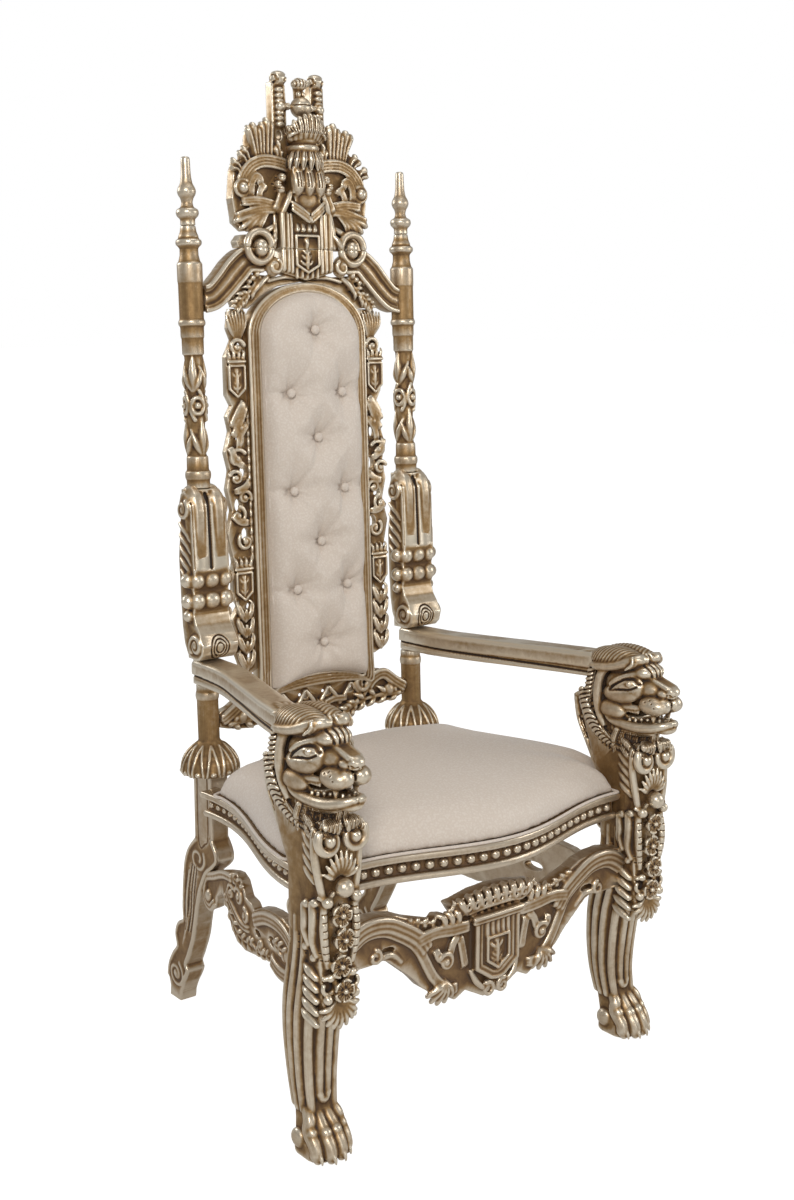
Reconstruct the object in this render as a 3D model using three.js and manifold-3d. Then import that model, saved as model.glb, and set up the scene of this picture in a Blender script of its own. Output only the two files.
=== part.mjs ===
// Carved and gilded throne: lion-head arm supports, turned back posts, a pierced crest,
// an upholstered seat and a tufted back. Millimetres, +Z up, the sitter faces -Y.
// The origin is on the floor, in the middle of the throne's width and depth.
import * as THREE from 'three'
import { mergeVertices } from 'three/addons/utils/BufferGeometryUtils.js'
import Module from 'manifold-3d'

// Driving dimensions. Depths are measured back from the middle of the front feet.
const DEPTH_SHIFT = -287
const GAP = 0.3
const ARM_SPREAD = 361
const LEG_HALF = 40
const POST_SPREAD = 248
const POST_FOOT_DEPTH = 495.7
const POST_LEAN = 0.0389
const SEAT_TOP = 491
const SEAT_BOTTOM = 440
const CUSHION_RISE = 80
const ARM_BOTTOM = 686
const ARM_TOP = 735
const BLOCK_TOP = 512
const BLOCK_IN = 227
const BLOCK_OUT = 268
const FRAME_HALF = 137
const FRAME_INNER = 112
const FRAME_SPRING = 1336
const FRAME_RISE = 100
const FRAME_INNER_RISE = 84
const FRAME_FRONT = -22
const FRAME_BACK = 12
const CREST_JOINT = 1500
const CREST_REAR = 14
const SPARE = 6
const FINIAL_JOINT = 1537
const CONSOLE_TOP = 1058

const GILT = new THREE.MeshStandardMaterial({ color: 0xb79a6c, roughness: 0.38, metalness: 0.85 })
const FABRIC = new THREE.MeshStandardMaterial({ color: 0xe3d9cc, roughness: 0.6, metalness: 0 })

const wasm = await Module()
wasm.setup()

const throne = new THREE.Group()
throne.position.y = DEPTH_SHIFT
const back = new THREE.Group()
back.position.y = POST_FOOT_DEPTH
back.rotation.x = -Math.atan(POST_LEAN)
back.updateMatrix()
throne.add(back)

// Turns a geometry into a closed solid with shared corners and its faces pointing out.
function solid(geometry) {
  const bare = geometry.clone()
  bare.deleteAttribute('normal')
  bare.deleteAttribute('uv')
  const merged = mergeVertices(bare, 1e-3)
  const at = merged.attributes.position
  const corners = []
  let volume = 0
  const [a, b, c] = [new THREE.Vector3(), new THREE.Vector3(), new THREE.Vector3()]
  for (let i = 0; i < merged.index.count; i += 3) {
    const [p, q, r] = [0, 1, 2].map((k) => merged.index.getX(i + k))
    if (p === q || q === r || r === p) continue
    a.fromBufferAttribute(at, p)
    b.fromBufferAttribute(at, q)
    c.fromBufferAttribute(at, r)
    volume += a.dot(b.cross(c))
    corners.push(p, q, r)
  }
  if (volume < 0) corners.reverse()
  const mesh = new wasm.Mesh({
    numProp: 3,
    vertProperties: Float32Array.from(at.array),
    triVerts: Uint32Array.from(corners),
  })
  return new wasm.Manifold(mesh)
}

function surface(body) {
  const mesh = body.getMesh()
  const geometry = new THREE.BufferGeometry()
  geometry.setAttribute('position', new THREE.BufferAttribute(Float32Array.from(mesh.vertProperties), 3))
  geometry.setIndex(Array.from(mesh.triVerts))
  return geometry
}

function joined(bodies) {
  return bodies.reduce((whole, body) => whole.add(body))
}

function cut(body, cutters) {
  return cutters.reduce((rest, cutter) => rest.subtract(cutter), body)
}

// A copy of a solid with every corner moved by a rule.
function moved(body, rule) {
  const geometry = surface(body)
  const at = geometry.attributes.position
  for (let i = 0; i < at.count; i += 1) {
    const [x, y, z] = rule(at.getX(i), at.getY(i), at.getZ(i))
    at.setXYZ(i, x, y, z)
  }
  return solid(geometry)
}

function mirrored(body) {
  return moved(body, (x, y, z) => [-x, y, z])
}

// A copy that is slightly wider about an upright line, for cutting a neighbour with a gap.
function grown(body, x0, y0, factor) {
  return moved(body, (x, y, z) => [x0 + (x - x0) * factor, y0 + (y - y0) * factor, z])
}

function addPart(group, name, body, material) {
  const geometry = surface(body)
  geometry.computeVertexNormals()
  const mesh = new THREE.Mesh(geometry, material)
  mesh.name = name
  group.add(mesh)
}

function addPair(group, name, body, material) {
  addPart(group, `${name}_right`, body, material)
  addPart(group, `${name}_left`, mirrored(body), material)
}

// The same solid, seen from the leaning back.
function inBack(body) {
  const toBack = back.matrix.clone().invert()
  const point = new THREE.Vector3()
  return moved(body, (x, y, z) => point.set(x, y, z).applyMatrix4(toBack).toArray())
}

// Extrusions of an outline: seen from the front, from the side, and from above.
function plate(points, holes, depth) {
  const shape = new THREE.Shape(points.map(([u, v]) => new THREE.Vector2(u, v)))
  shape.holes = holes.map((hole) => new THREE.Path(hole.map(([u, v]) => new THREE.Vector2(u, v))))
  return new THREE.ExtrudeGeometry(shape, { depth, bevelEnabled: false })
}

function frontPlate(points, front, rear, holes = []) {
  const geometry = plate(points, holes, rear - front)
  return solid(geometry.rotateX(Math.PI / 2).translate(0, rear, 0))
}

function sidePlate(points, inner, outer, holes = []) {
  const turn = new THREE.Matrix4().set(0, 0, 1, inner, 1, 0, 0, 0, 0, 1, 0, 0, 0, 0, 0, 1)
  return solid(plate(points, holes, outer - inner).applyMatrix4(turn))
}

function planPlate(points, bottom, top) {
  return solid(plate(points, [], top - bottom).translate(0, 0, bottom))
}

function box(x0, x1, y0, y1, z0, z1) {
  const geometry = new THREE.BoxGeometry(x1 - x0, y1 - y0, z1 - z0)
  return solid(geometry.translate((x0 + x1) / 2, (y0 + y1) / 2, (z0 + z1) / 2))
}

function range(count, rule) {
  return Array.from({ length: count }, (_, i) => rule(i))
}

// A smooth line through a few points, as a list of points.
function curve(points, steps) {
  const line = new THREE.SplineCurve(points.map(([u, v]) => new THREE.Vector2(u, v)))
  return line.getPoints(steps).map((p) => [p.x, p.y])
}

function arc(cx, cz, a, b, from, to, steps) {
  return range(steps + 1, (i) => {
    const angle = from + ((to - from) * i) / steps
    return [cx + a * Math.cos(angle), cz + b * Math.sin(angle)]
  })
}

function oval(cx, cz, a, b, sides = 8) {
  return arc(cx, cz, a, b, 0, 2 * Math.PI, sides).slice(0, sides)
}

// Half a scalloped disc, as shells, palmettes and collars have.
function fan(x, z, half, rise, from, count) {
  return range(count, (i) => {
    const angle = from + (Math.PI * i) / (count - 1)
    const reach = i % 2 ? 0.82 : 1
    return [x + half * Math.cos(angle), z + rise * Math.sin(angle) * reach]
  })
}

// An outline of a band that follows a line, with a half-width for each end and the middle.
function band(line, start, middle, end) {
  const left = []
  const right = []
  line.forEach(([u, v], i) => {
    const [pu, pv] = line[Math.max(i - 1, 0)]
    const [nu, nv] = line[Math.min(i + 1, line.length - 1)]
    const length = Math.hypot(nu - pu, nv - pv)
    const t = i / (line.length - 1)
    const half = start * (1 - t) ** 2 + 4 * middle * t * (1 - t) * 0.75 + end * t ** 2
    left.push([u - ((nv - pv) / length) * half, v + ((nu - pu) / length) * half])
    right.unshift([u + ((nv - pv) / length) * half, v - ((nu - pu) / length) * half])
  })
  return [...left, ...right]
}

// A rounded lump.
function ball(x, y, z, rx, ry = rx, rz = rx) {
  return solid(new THREE.OctahedronGeometry(1, 1).scale(rx, ry, rz).translate(x, y, z))
}

// A round boss, wider at its foot, whose axis points along X or along -Y.
function bossAlongX(x0, x1, y, z, foot, top, sides = 10) {
  const geometry = new THREE.CylinderGeometry(top, foot, x1 - x0, sides).rotateZ(-Math.PI / 2)
  return solid(geometry.translate((x0 + x1) / 2, y, z))
}

function bossToFront(x, front, rear, z, foot, top, sides = 10) {
  const geometry = new THREE.CylinderGeometry(top, foot, rear - front, sides).rotateX(Math.PI)
  return solid(geometry.translate(x, (front + rear) / 2, z))
}

// A turned piece about an upright axis: pairs of height and radius, from the bottom up.
function turned(profile, sides, shaping = (radius) => radius) {
  const low = profile[0][0]
  const high = profile[profile.length - 1][0]
  const rows = [[low, 0], ...profile, [high, 0]]
  const geometry = new THREE.LatheGeometry(rows.map(([z, r]) => new THREE.Vector2(r, z)), sides)
  geometry.rotateX(Math.PI / 2)
  const at = geometry.attributes.position
  for (let i = 0; i < at.count; i += 1) {
    const [x, y, z] = [at.getX(i), at.getY(i), at.getZ(i)]
    const radius = Math.hypot(x, y)
    if (radius < 0.01) continue
    const factor = shaping(radius, Math.atan2(y, x), z) / radius
    at.setXY(i, x * factor, y * factor)
  }
  return solid(geometry)
}

// A body with one ring of corners for each station, which a rule places.
function loft(sides, steps, place) {
  const geometry = new THREE.CylinderGeometry(1, 1, 1, sides, steps)
  const at = geometry.attributes.position
  for (let i = 0; i < at.count; i += 1) {
    const angle = Math.atan2(at.getZ(i), at.getX(i))
    const radius = Math.hypot(at.getX(i), at.getZ(i))
    at.setXYZ(i, ...place(at.getY(i) + 0.5, angle, radius))
  }
  return solid(geometry)
}

// A body whose rings are a plan of points, each ring set by a rule from its place and its row.
function layered(plan, rows, place) {
  const steps = rows.length - 1
  return loft(plan.length, steps, (t, angle, radius) => {
    const turn = Math.PI / 2 - angle + 2 * Math.PI
    const point = plan[Math.round((turn * plan.length) / (2 * Math.PI)) % plan.length]
    return place(point, rows[Math.round(t * steps)], radius)
  })
}

// Reads a row of values out of a table of stations, whose first column runs evenly or not.
function station(table, t) {
  const step = t * (table.length - 1)
  const row = Math.min(Math.floor(step), table.length - 2)
  return table[row].map((value, i) => value + (table[row + 1][i] - value) * (step - row))
}

// A section between a circle (2) and a square (8).
function squareness(angle, power) {
  return (Math.abs(Math.cos(angle)) ** power + Math.abs(Math.sin(angle)) ** power) ** (-1 / power)
}

// Back posts, in the leaning back: finial, upper post, console, lower post.
const POST_SIDES = 8

function atPost(body) {
  return moved(body, (x, y, z) => [x + POST_SPREAD, y, z])
}

function finial() {
  const profile = [
    [FINIAL_JOINT + GAP / 2, 14], [1548, 13], [1554, 21], [1565, 21], [1571, 10.5],
    [1586, 12], [1597, 17.5], [1606, 15], [1624, 9.4], [1659, 7.5],
  ]
  return atPost(turned(profile, POST_SIDES))
}

// The carved lengths of the post are a ribbon knot between two sprays of leaves.
function carvedPost(radius, angle, z) {
  const spray = (Math.abs(z - 1270) < 36 || Math.abs(z - 1150) < 36) && Math.abs(z - 1210) > 26
  if (spray) return radius + 3 * Math.cos(3 * angle + z / 14)
  if (Math.abs(z - 1211) < 22) return radius + 2 * Math.cos(4 * angle + Math.PI / 4)
  return radius
}

function upperPost() {
  const profile = [
    [CONSOLE_TOP + GAP / 2, 21.7], [1078, 22.5], [1088, 24], [1091, 20], [1118, 20],
    [1150, 21.5], [1184, 18], [1211, 25], [1238, 18], [1270, 21.5], [1304, 20], [1336, 21],
    [1357, 22], [1359, 24.8], [1367, 24.8], [1369, 22.5], [1434, 22.5], [1469, 23.5],
    [1480, 17.5], [1499, 17], [1501, 24.3], [1512, 24.3], [FINIAL_JOINT - GAP / 2, 14],
  ]
  return atPost(turned(profile, POST_SIDES, carvedPost))
}

const CONSOLE_HALF = 43
const CONSOLE_FRONT = -38
const CONSOLE_BACK = 19
const ROLLS = [889, 850]

function scrollConsole() {
  const top = arc(-10, 1024, 28, 26, 0, Math.PI, 4)
  const foot = arc(-30, 768, 28, 30, Math.PI * 1.05, Math.PI * 1.75, 4)
  const outline = [
    ...top, [CONSOLE_FRONT, 990], [CONSOLE_FRONT - 1, 920], [-30, 826], ...foot,
    [10, 768], [CONSOLE_BACK - 4, 800], [CONSOLE_BACK, 860], [CONSOLE_BACK, 934], [4, 990],
  ]
  const body = sidePlate(outline, -CONSOLE_HALF, CONSOLE_HALF)
  const core = box(-27, 27, -26, 22, 745, CONSOLE_TOP - GAP / 2)
  const rolls = ROLLS.map((z) => bossAlongX(-46, 46, -24, z, 21, 21, 6))
  const eyes = [1, -1].flatMap((side) => [[-9, 1021, 19], [-30, 768, 19]].map(([y, z, r]) => {
    const [inner, outer] = side > 0 ? [CONSOLE_HALF - 1, 48] : [-48, 1 - CONSOLE_HALF]
    return bossAlongX(inner, outer, y, z, side > 0 ? r : r * 0.7, side > 0 ? r * 0.7 : r, 6)
  }))
  const groove = planPlate([[-5, -60], [0, CONSOLE_FRONT + 9], [5, -60]], 912, 1046)
  const notch = frontPlate([[-12, 1075], [0, 1018], [12, 1075]], -60, -27)
  const armLevel = inBack(box(100, 400, 300, 700, ARM_BOTTOM, ARM_TOP + GAP))
  const block = atPost(cut(joined([body, core, ...rolls, ...eyes]), [groove, notch]))
  return cut(block, [armLevel])
}

function petalHem(radius, angle, z) {
  const reach = z > 512.5 && z < 575 ? 1 + 0.06 * Math.abs(Math.sin(4 * angle)) : 1
  return radius * reach
}

function lowerPost() {
  const profile = [
    [508, 30], [514, 42], [522, 54], [532, 54], [547, 50], [562, 40], [577, 20.5], [700, 20.5],
  ]
  const post = atPost(turned(profile, 12, petalHem))
  const above = box(100, 400, 300, 700, ARM_BOTTOM - GAP, ARM_TOP + 50)
  const below = box(100, 400, 300, 700, BLOCK_TOP - 60, BLOCK_TOP + GAP)
  return cut(post, [inBack(above), inBack(below)])
}

// Rear leg: a square block above an S-shaped leg, cut from one plank.
const FOOT_DRIFT = 15

function rearLeg() {
  const front = [
    [485, BLOCK_TOP], [485, 381], [470, 349], [486, 332], [514, 310], [538, 274], [551, 234],
    [564, 191], [575, 153], [594, 115], [610, 88], [603, 78], [624, 40], [642, 0],
  ]
  const rear = [
    [687, 0], [684, 22], [690, 46], [683, 72], [664, 100], [643, 122], [648, 146], [637, 172],
    [612, 188], [612, 215], [604, 269], [593, 316], [577, 347], [549, 378], [549, BLOCK_TOP],
  ]
  const plank = sidePlate([...front, ...rear], BLOCK_IN, BLOCK_OUT)
  const hollows = [BLOCK_IN - 5, BLOCK_OUT - 5].map((x) => sidePlate(oval(540, 334, 27, 21, 8), x, x + 10))
  const eyes = [[BLOCK_IN - 3, BLOCK_IN + 5], [BLOCK_OUT - 5, BLOCK_OUT + 3]]
  const bosses = eyes.map(([x0, x1]) => bossAlongX(x0, x1, 655, 62, 22, 22, 8))
  const whole = joined([cut(plank, hollows), ...bosses])
  return moved(whole, (x, y, z) => [z < 375 ? x - FOOT_DRIFT * (1 - z / 375) : x, y, z])
}

// Front leg: paw, fluted S-shaped leg, cartouche and lion head, carved in one. Built about its own
// upright line, with +X outwards, and moved to the arm spread at the end.
const LEG_STATIONS = [
  // height, outward offset, depth, half-width, half-depth, squareness, flute depth
  [34, 0, 8, 35, 40, 3, 0],
  [66, -2, 20, 33, 36, 3, 0],
  [100, -4, 29, 33, 35, 3, 2],
  [145, -5, 34, 36, 39, 3, 3],
  [200, -4, 33, 39, 44, 3, 3],
  [255, -3, 27, 41, 47, 3, 3],
  [310, -1, 14, 42, 50, 3.4, 2],
  [370, 0, 4, 40, 46, 5, 0],
  [436, 0, 3, LEG_HALF, 42, 8, 0],
  [496, 0, 3, LEG_HALF, 42, 8, 0],
  [545, 0, 18, 37, 60, 4, 0],
  [640, 0, 40, 33, 84, 3, 0],
]
const LEG_SIDES = 12

function legAt(t, angle, radius) {
  const [z, x, y, a, b, power, flute] = station(LEG_STATIONS, t)
  const reach = radius * squareness(angle, power)
  const ribs = radius * flute * Math.cos((LEG_SIDES / 2) * angle)
  return [x + (a * reach + ribs) * Math.cos(angle), y + (b * reach + ribs) * Math.sin(angle), z]
}

function paw() {
  const toes = [-28, -9.5, 9.5, 28].map((x, i) => {
    const y = i === 1 || i === 2 ? -25 : -15
    return ball(x, y, 24, 12.5, 28, 29)
  })
  const sole = loft(10, 1, (t, angle, radius) => [
    38 * radius * squareness(angle, 3) * Math.cos(angle),
    4 + 42 * radius * squareness(angle, 3) * Math.sin(angle),
    t * 40,
  ])
  const floor = box(-90, 90, -120, 120, -60, 0)
  return cut(joined([sole, ...toes]), [floor])
}

function flower(x, y, z, radius) {
  return frontPlate(oval(x, z, radius, radius, 5), y - 11, y + 12)
}

function cartouche() {
  const half = [[0, 604], [34, 600], [43, 560], [34, 480], [38, 380], [34, 290]]
  const foot = fan(0, 276, 32, 38, Math.PI, 7)
  const outline = [...half, ...[...foot].reverse(), ...half.slice(1).reverse().map(([x, z]) => [-x, z])]
  const field = frontPlate(outline, -56, -20)
  const shoulders = [1, -1].map((side) => bossToFront(side * 28, -70, -50, 566, 19, 12, 6))
  const palmette = frontPlate(fan(0, 492, 34, 48, 0, 5), -66, -50)
  const balls = [ball(0, -68, 485, 17)]
  const flowers = [[2, 436], [-2, 394], [3, 351], [-3, 308]].map(([x, z]) => flower(x, -62, z, 21))
  return joined([field, ...shoulders, palmette, ...balls, ...flowers])
}

// The rear edge of the arm support is an S-curve that ends in a small scroll above the leg.
function supportFin() {
  const rear = [
    [70, 690], [138, 650], [128, 610], [108, 575], [84, 535], [66, 496], [56, 466], [58, 436],
    [67, 420], [58, 400], [30, 396], [0, 420], [0, 640],
  ]
  return joined([sidePlate(rear, -17, 17), bossAlongX(-22, 22, 50, 414, 15, 15, 8)])
}

// The lion head faces -Y. Round masses for the skull, cheeks, muzzle and jaw are fused.
const NECK_REAR = 74

function lionHead() {
  const skull = ball(0, 0, 700, 50, 68, 54)
  const hair = ball(0, 2, 738, 54, 82, 36)
  const brow = ball(0, -62, 722, 46, 22, 11)
  const bridge = ball(0, -70, 700, 24, 46, 24)
  const pads = [1, -1].map((side) => ball(side * 17, -88, 678, 21, 28, 17))
  const jaw = ball(0, -62, 638, 33, 47, 14)
  const beard = ball(0, -38, 618, 36, 44, 30)
  const neck = box(-28, 28, 10, NECK_REAR, 600, ARM_TOP + 8)
  const mane = [1, -1].map((side) => {
    const strip = sidePlate([[36, 724], [70, 716], [134, 650], [30, 660]], 26, 44)
    return side > 0 ? strip : mirrored(strip)
  })
  const mouth = loft(5, 1, (t, angle, radius) => [
    (t - 0.5) * 120,
    -78 + 30 * radius * Math.cos(angle),
    653 + 8 * radius * Math.sin(angle),
  ])
  const head = joined([skull, hair, brow, bridge, ...pads, jaw, beard, neck, ...mane])
  const behind = box(-60, 60, NECK_REAR, 200, 680, 800)
  return cut(head, [mouth, behind])
}

function frontLeg() {
  const leg = loft(LEG_SIDES, LEG_STATIONS.length - 1, legAt)
  const whole = joined([paw(), leg, cartouche(), supportFin(), lionHead()])
  return moved(whole, (x, y, z) => [x + ARM_SPREAD, y, z])
}

// Armrest: a flat-topped rail that widens out from the back post to the lion's mane.
const ARM_STATIONS = [
  // outward position, depth, half-width, lowest, highest
  [250, 530, 27, ARM_BOTTOM, ARM_TOP],
  [256, 440, 27, ARM_BOTTOM, ARM_TOP],
  [294, 300, 26, ARM_BOTTOM + 1, ARM_TOP + 2],
  [334, 175, 27, ARM_BOTTOM + 2, ARM_TOP + 5],
  [361, NECK_REAR + GAP, 28, ARM_BOTTOM + 4, ARM_TOP + 8],
]

function arm() {
  return loft(8, ARM_STATIONS.length - 1, (t, angle, radius) => {
    const [x, y, half, low, high] = station(ARM_STATIONS, t)
    const reach = radius * squareness(angle + Math.PI / 8, 7)
    const [across, up] = [reach * Math.cos(angle + Math.PI / 8), reach * Math.sin(angle + Math.PI / 8)]
    return [x + half * across, y, (low + high) / 2 + (up * (high - low)) / 2]
  })
}

// Seat: the plan of the rails bows forward in front and narrows to the back at each side.
function frontDepth(x) {
  return -16 - 64 * (0.5 + 0.5 * Math.cos((Math.PI * x) / 300))
}

function sideSpread(y) {
  return 290 + 93 * (0.5 + 0.5 * Math.cos((Math.PI * (y - 50)) / 390))
}

const RAIL_TIERS = [
  // lowest, highest, how far the face stands back
  [SEAT_BOTTOM, 452, 12],
  [452, 478, 20],
  [478, SEAT_TOP, 0],
]
const RAIL_DEPTH = 42
const LEG_INSIDE = ARM_SPREAD - LEG_HALF - GAP
const LEG_REAR = 44
const LEG_GROWTH = 1.008

function railTiers(edge) {
  return joined(RAIL_TIERS.map(([low, high, inset]) => {
    const lap = high < SEAT_TOP ? 1 : 0
    return planPlate(edge(inset), low, high + lap)
  }))
}

function frontRail() {
  const xs = range(11, (i) => LEG_INSIDE * (i / 5 - 1))
  return railTiers((inset) => [
    ...xs.map((x) => [x, frontDepth(x) + inset]),
    ...[...xs].reverse().map((x) => [x, frontDepth(x) + RAIL_DEPTH]),
  ])
}

function sideRail(leg) {
  const rear = 485 - GAP
  const ys = range(8, (i) => LEG_REAR + ((rear - LEG_REAR) * i) / 7)
  const rail = railTiers((inset) => [
    ...ys.map((y) => [sideSpread(y) - inset, y]),
    ...[...ys].reverse().map((y) => [sideSpread(y) - RAIL_DEPTH, y]),
  ])
  return cut(rail, [grown(leg, ARM_SPREAD, 5, LEG_GROWTH)])
}

const CUSHION_RINGS = [
  // share of the plan, share of the rise
  [1, 0], [1, 0.25], [0.97, 0.5], [0.86, 0.8], [0.45, 0.98], [0, 1],
]
const CUSHION_MIDDLE = 215

function cushionPlan() {
  const front = range(6, (i) => 316 * (i / 5)).map((x) => [x, frontDepth(x) + 4])
  const side = range(4, (i) => 72 + (366 * i) / 3).map((y) => [sideSpread(y) - 4, y])
  const half = [...front, [316, 56], [368, 58], ...side, [240, 455], [188, 470], [170, 480]]
  return [...half, ...half.slice(1).reverse().map(([x, y]) => [-x, y])]
}

function cushion(leg) {
  const body = layered(cushionPlan(), CUSHION_RINGS, ([x, y], [share, rise], radius) => {
    const reach = radius * share
    return [x * reach, CUSHION_MIDDLE + (y - CUSHION_MIDDLE) * reach, SEAT_TOP + GAP + rise * CUSHION_RISE]
  })
  const near = grown(leg, ARM_SPREAD, 5, LEG_GROWTH)
  return cut(body, [near, mirrored(near)])
}

// Stretchers: pierced and carved aprons between the legs.
function frontStretcher(leg) {
  const upper = [
    [0, 386], [40, 384], [80, 376], [99, 374], [84, 352], [70, 336], [84, 346], [104, 356], [122, 360],
    [130, 352], [160, 362], [189, 372], [215, 384], [245, 391], [280, 393], [330, 384],
  ]
  const lower = [
    [330, 309], [268, 308], [256, 316], [232, 306], [206, 284], [180, 262], [158, 238], [135, 221],
    [108, 210], [86, 196], [62, 208], [40, 196], [18, 184], [0, 192],
  ]
  const half = [...upper, ...lower]
  const outline = [...half, ...half.slice(1, -1).reverse().map(([x, z]) => [-x, z])]
  const piercings = [1, -1].flatMap((side) => [
    oval(side * 236, 328, 20, 7, 6), oval(side * 128, 285, 9, 16, 6), oval(side * 76, 246, 9, 10, 5),
  ])
  const web = frontPlate(outline, -24, 10, piercings)
  const shieldAt = (half, top, bottom) => [
    [-half, top], [half, top], [half, bottom], [0, bottom - 26], [-half, bottom],
  ]
  const shields = [
    frontPlate(shieldAt(50, 332, 246), -34, -20), frontPlate(shieldAt(26, 300, 250), -40, -30),
    frontPlate([[-56, 346], [56, 346], [52, 330], [-52, 330]], -38, -20),
  ]
  const scrolls = [1, -1].flatMap((side) => {
    const turn = (points) => points.map(([x, z]) => [side * x, z])
    const arch = curve(turn([[330, 350], [290, 372], [240, 370], [190, 346], [160, 318]]), 5)
    const leaf = curve(turn([[168, 322], [150, 268], [118, 236], [88, 232], [84, 256]]), 4)
    return [frontPlate(band(arch, 12, 14, 8), -32, -20), frontPlate(band(leaf, 6, 14, 7), -33, -20)]
  })
  const crown = frontPlate(fan(0, 350, 78, 34, 0, 9), -32, -20)
  const near = grown(leg, ARM_SPREAD, 5, LEG_GROWTH)
  return cut(joined([web, ...shields, ...scrolls, crown]), [near, mirrored(near)])
}

const SIDE_FRONT = 40
const SIDE_REAR = 560
const SIDE_SLOPE = 0.204
const SIDE_SPREAD_REAR = 259
const SIDE_THICK = 28

function sideStretcher(leg, rear) {
  const upper = [
    [SIDE_REAR, 268], [535, 292], [508, 312], [470, 330], [430, 344], [390, 356], [368, 360], [344, 354],
    [325, 330], [297, 328], [285, 320], [257, 334], [226, 344], [190, 351], [150, 354], [110, 347],
    [SIDE_FRONT, 318],
  ]
  const lower = [
    [SIDE_FRONT, 280], [110, 262], [150, 248], [182, 243], [203, 253], [240, 246], [284, 235],
    [331, 225], [374, 229], [400, 244], [410, 262], [425, 285], [450, 296], [474, 276], [482, 252],
    [505, 240], [530, 240], [SIDE_REAR, 246],
  ]
  const piercings = [oval(372, 276, 7, 12, 6), oval(268, 280, 16, 8, 6), oval(200, 292, 26, 12, 6)]
  const web = sidePlate([...upper, ...lower], -SIDE_THICK, -6, piercings)
  const scrolls = [
    band(curve([[512, 262], [532, 274], [520, 302], [470, 318], [410, 336], [372, 340]], 6), 10, 12, 6),
    band(curve([[180, 262], [130, 256], [96, 290], [130, 330], [190, 336], [270, 312]], 6), 10, 13, 5),
  ].map((shape) => sidePlate(shape, -10, 0))
  const flat = joined([web, ...scrolls])
  const set = moved(flat, (x, y, z) => [x + SIDE_SPREAD_REAR + (540 - y) * SIDE_SLOPE, y, z])
  const nearRear = [0, -GAP].map((shift) => moved(rear, (x, y, z) => [247 + (x - 247) * 1.02, y + shift, z]))
  return cut(set, [grown(leg, ARM_SPREAD, 5, LEG_GROWTH), ...nearRear])
}

// The leaning back: frame, upholstery, side panels, rails and crest, drawn as seen from the front.
function archOutline(half, spring, rise, cornerZ, middleZ, steps) {
  const top = arc(0, spring, half, rise, 0, Math.PI, steps)
  const low = [-1, -0.5, 0, 0.5, 1].map((u) => [u * half, middleZ - (middleZ - cornerZ) * u * u])
  return [...top, ...low]
}

const OUTER = [640, 651]
const INNER = [655, 675]

function backFrame() {
  const outer = archOutline(FRAME_HALF, FRAME_SPRING, FRAME_RISE, ...OUTER, 12)
  const step = archOutline(126, FRAME_SPRING, 92, 647, 663, 12)
  const inner = archOutline(FRAME_INNER, FRAME_SPRING, FRAME_INNER_RISE, ...INNER, 12)
  const body = frontPlate(outer, FRAME_FRONT + 5, FRAME_BACK, [inner])
  const raised = frontPlate(archOutline(133, FRAME_SPRING, 97, 643, 655, 12), FRAME_FRONT, 0, [step])
  return body.add(raised)
}

const PAD_RINGS = [
  // share of the width, depth
  [1, 6], [1, -20], [0.92, -42], [0.64, -56], [0.3, -62],
]
const PAD_MIDDLE = 1030
const PAD_SQUEEZE = 0.28

function backPad() {
  const half = FRAME_INNER - GAP
  const plan = archOutline(half, FRAME_SPRING, FRAME_INNER_RISE - GAP, INNER[0] + GAP, INNER[1] + GAP, 12)
  return layered(plan, PAD_RINGS, ([x, z], [share, depth], radius) => {
    const height = radius * (1 - (1 - share) * PAD_SQUEEZE)
    return [x * radius * share, depth, PAD_MIDDLE + (z - PAD_MIDDLE) * height]
  })
}

function sidePanel() {
  const edge = [
    // leaf fan, crown and shield
    [166, 1388], [173, 1352], [163, 1330], [183, 1290], [183, 1228], [170, 1212],
    // leaves and scrolls
    [184, 1188], [177, 1160], [190, 1120], [180, 1086], [190, 1050], [178, 1010], [194, 965],
    [179, 910],
    // crown and shield, then a spray of leaves
    [184, 896], [184, 844], [172, 826], [192, 802], [180, 776], [190, 750], [172, 700],
  ]
  const inner = FRAME_HALF + GAP
  const outline = [[inner, 1388], ...edge, [150, 690], [inner, 700]]
  const piercings = [
    oval(150, 1318, 8, 9, 6), oval(151, 1196, 8, 12, 6), oval(162, 1140, 11, 18, 6),
    oval(154, 1072, 10, 18, 6), oval(166, 1020, 11, 15, 6), oval(156, 950, 12, 19, 6),
    oval(150, 822, 8, 9, 6), oval(151, 768, 7, 13, 6), oval(158, 724, 7, 12, 6),
  ]
  const web = frontPlate(outline, -12, 8, piercings)
  const shields = [[1291, 1226], [896, 842]].map(([top, bottom]) => frontPlate([
    [145, top], [181, top], [181, bottom + 14], [163, bottom], [145, bottom + 14],
  ], -21, -10))
  return joined([web, ...shields])
}

const BAND_LINE = [[226, 1404], [204, 1413], [180, 1434], [158, 1457], [130, 1476], [96, 1462]]
const PLAQUE_HALF = 60

function plaque(low, high) {
  const field = frontPlate([
    [-PLAQUE_HALF, high], [-PLAQUE_HALF, Math.max(low, 1455)], ...(low < 1455 ? [[0, 1441]] : []),
    [PLAQUE_HALF, Math.max(low, 1455)], [PLAQUE_HALF, high],
  ], -22, CREST_REAR + SPARE)
  const reeds = [-42, 42].map((x) => box(x - 8, x + 8, -27, -20, Math.max(low, 1457), high))
  return joined([field, ...reeds])
}

function shieldHalf(top, bottom) {
  const foot = bottom < 1470 ? [[26, 1470], [0, 1456], [-26, 1470]] : [[26, bottom], [-26, bottom]]
  return frontPlate([[-26, top], [26, top], ...foot], -30, -20)
}

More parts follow.
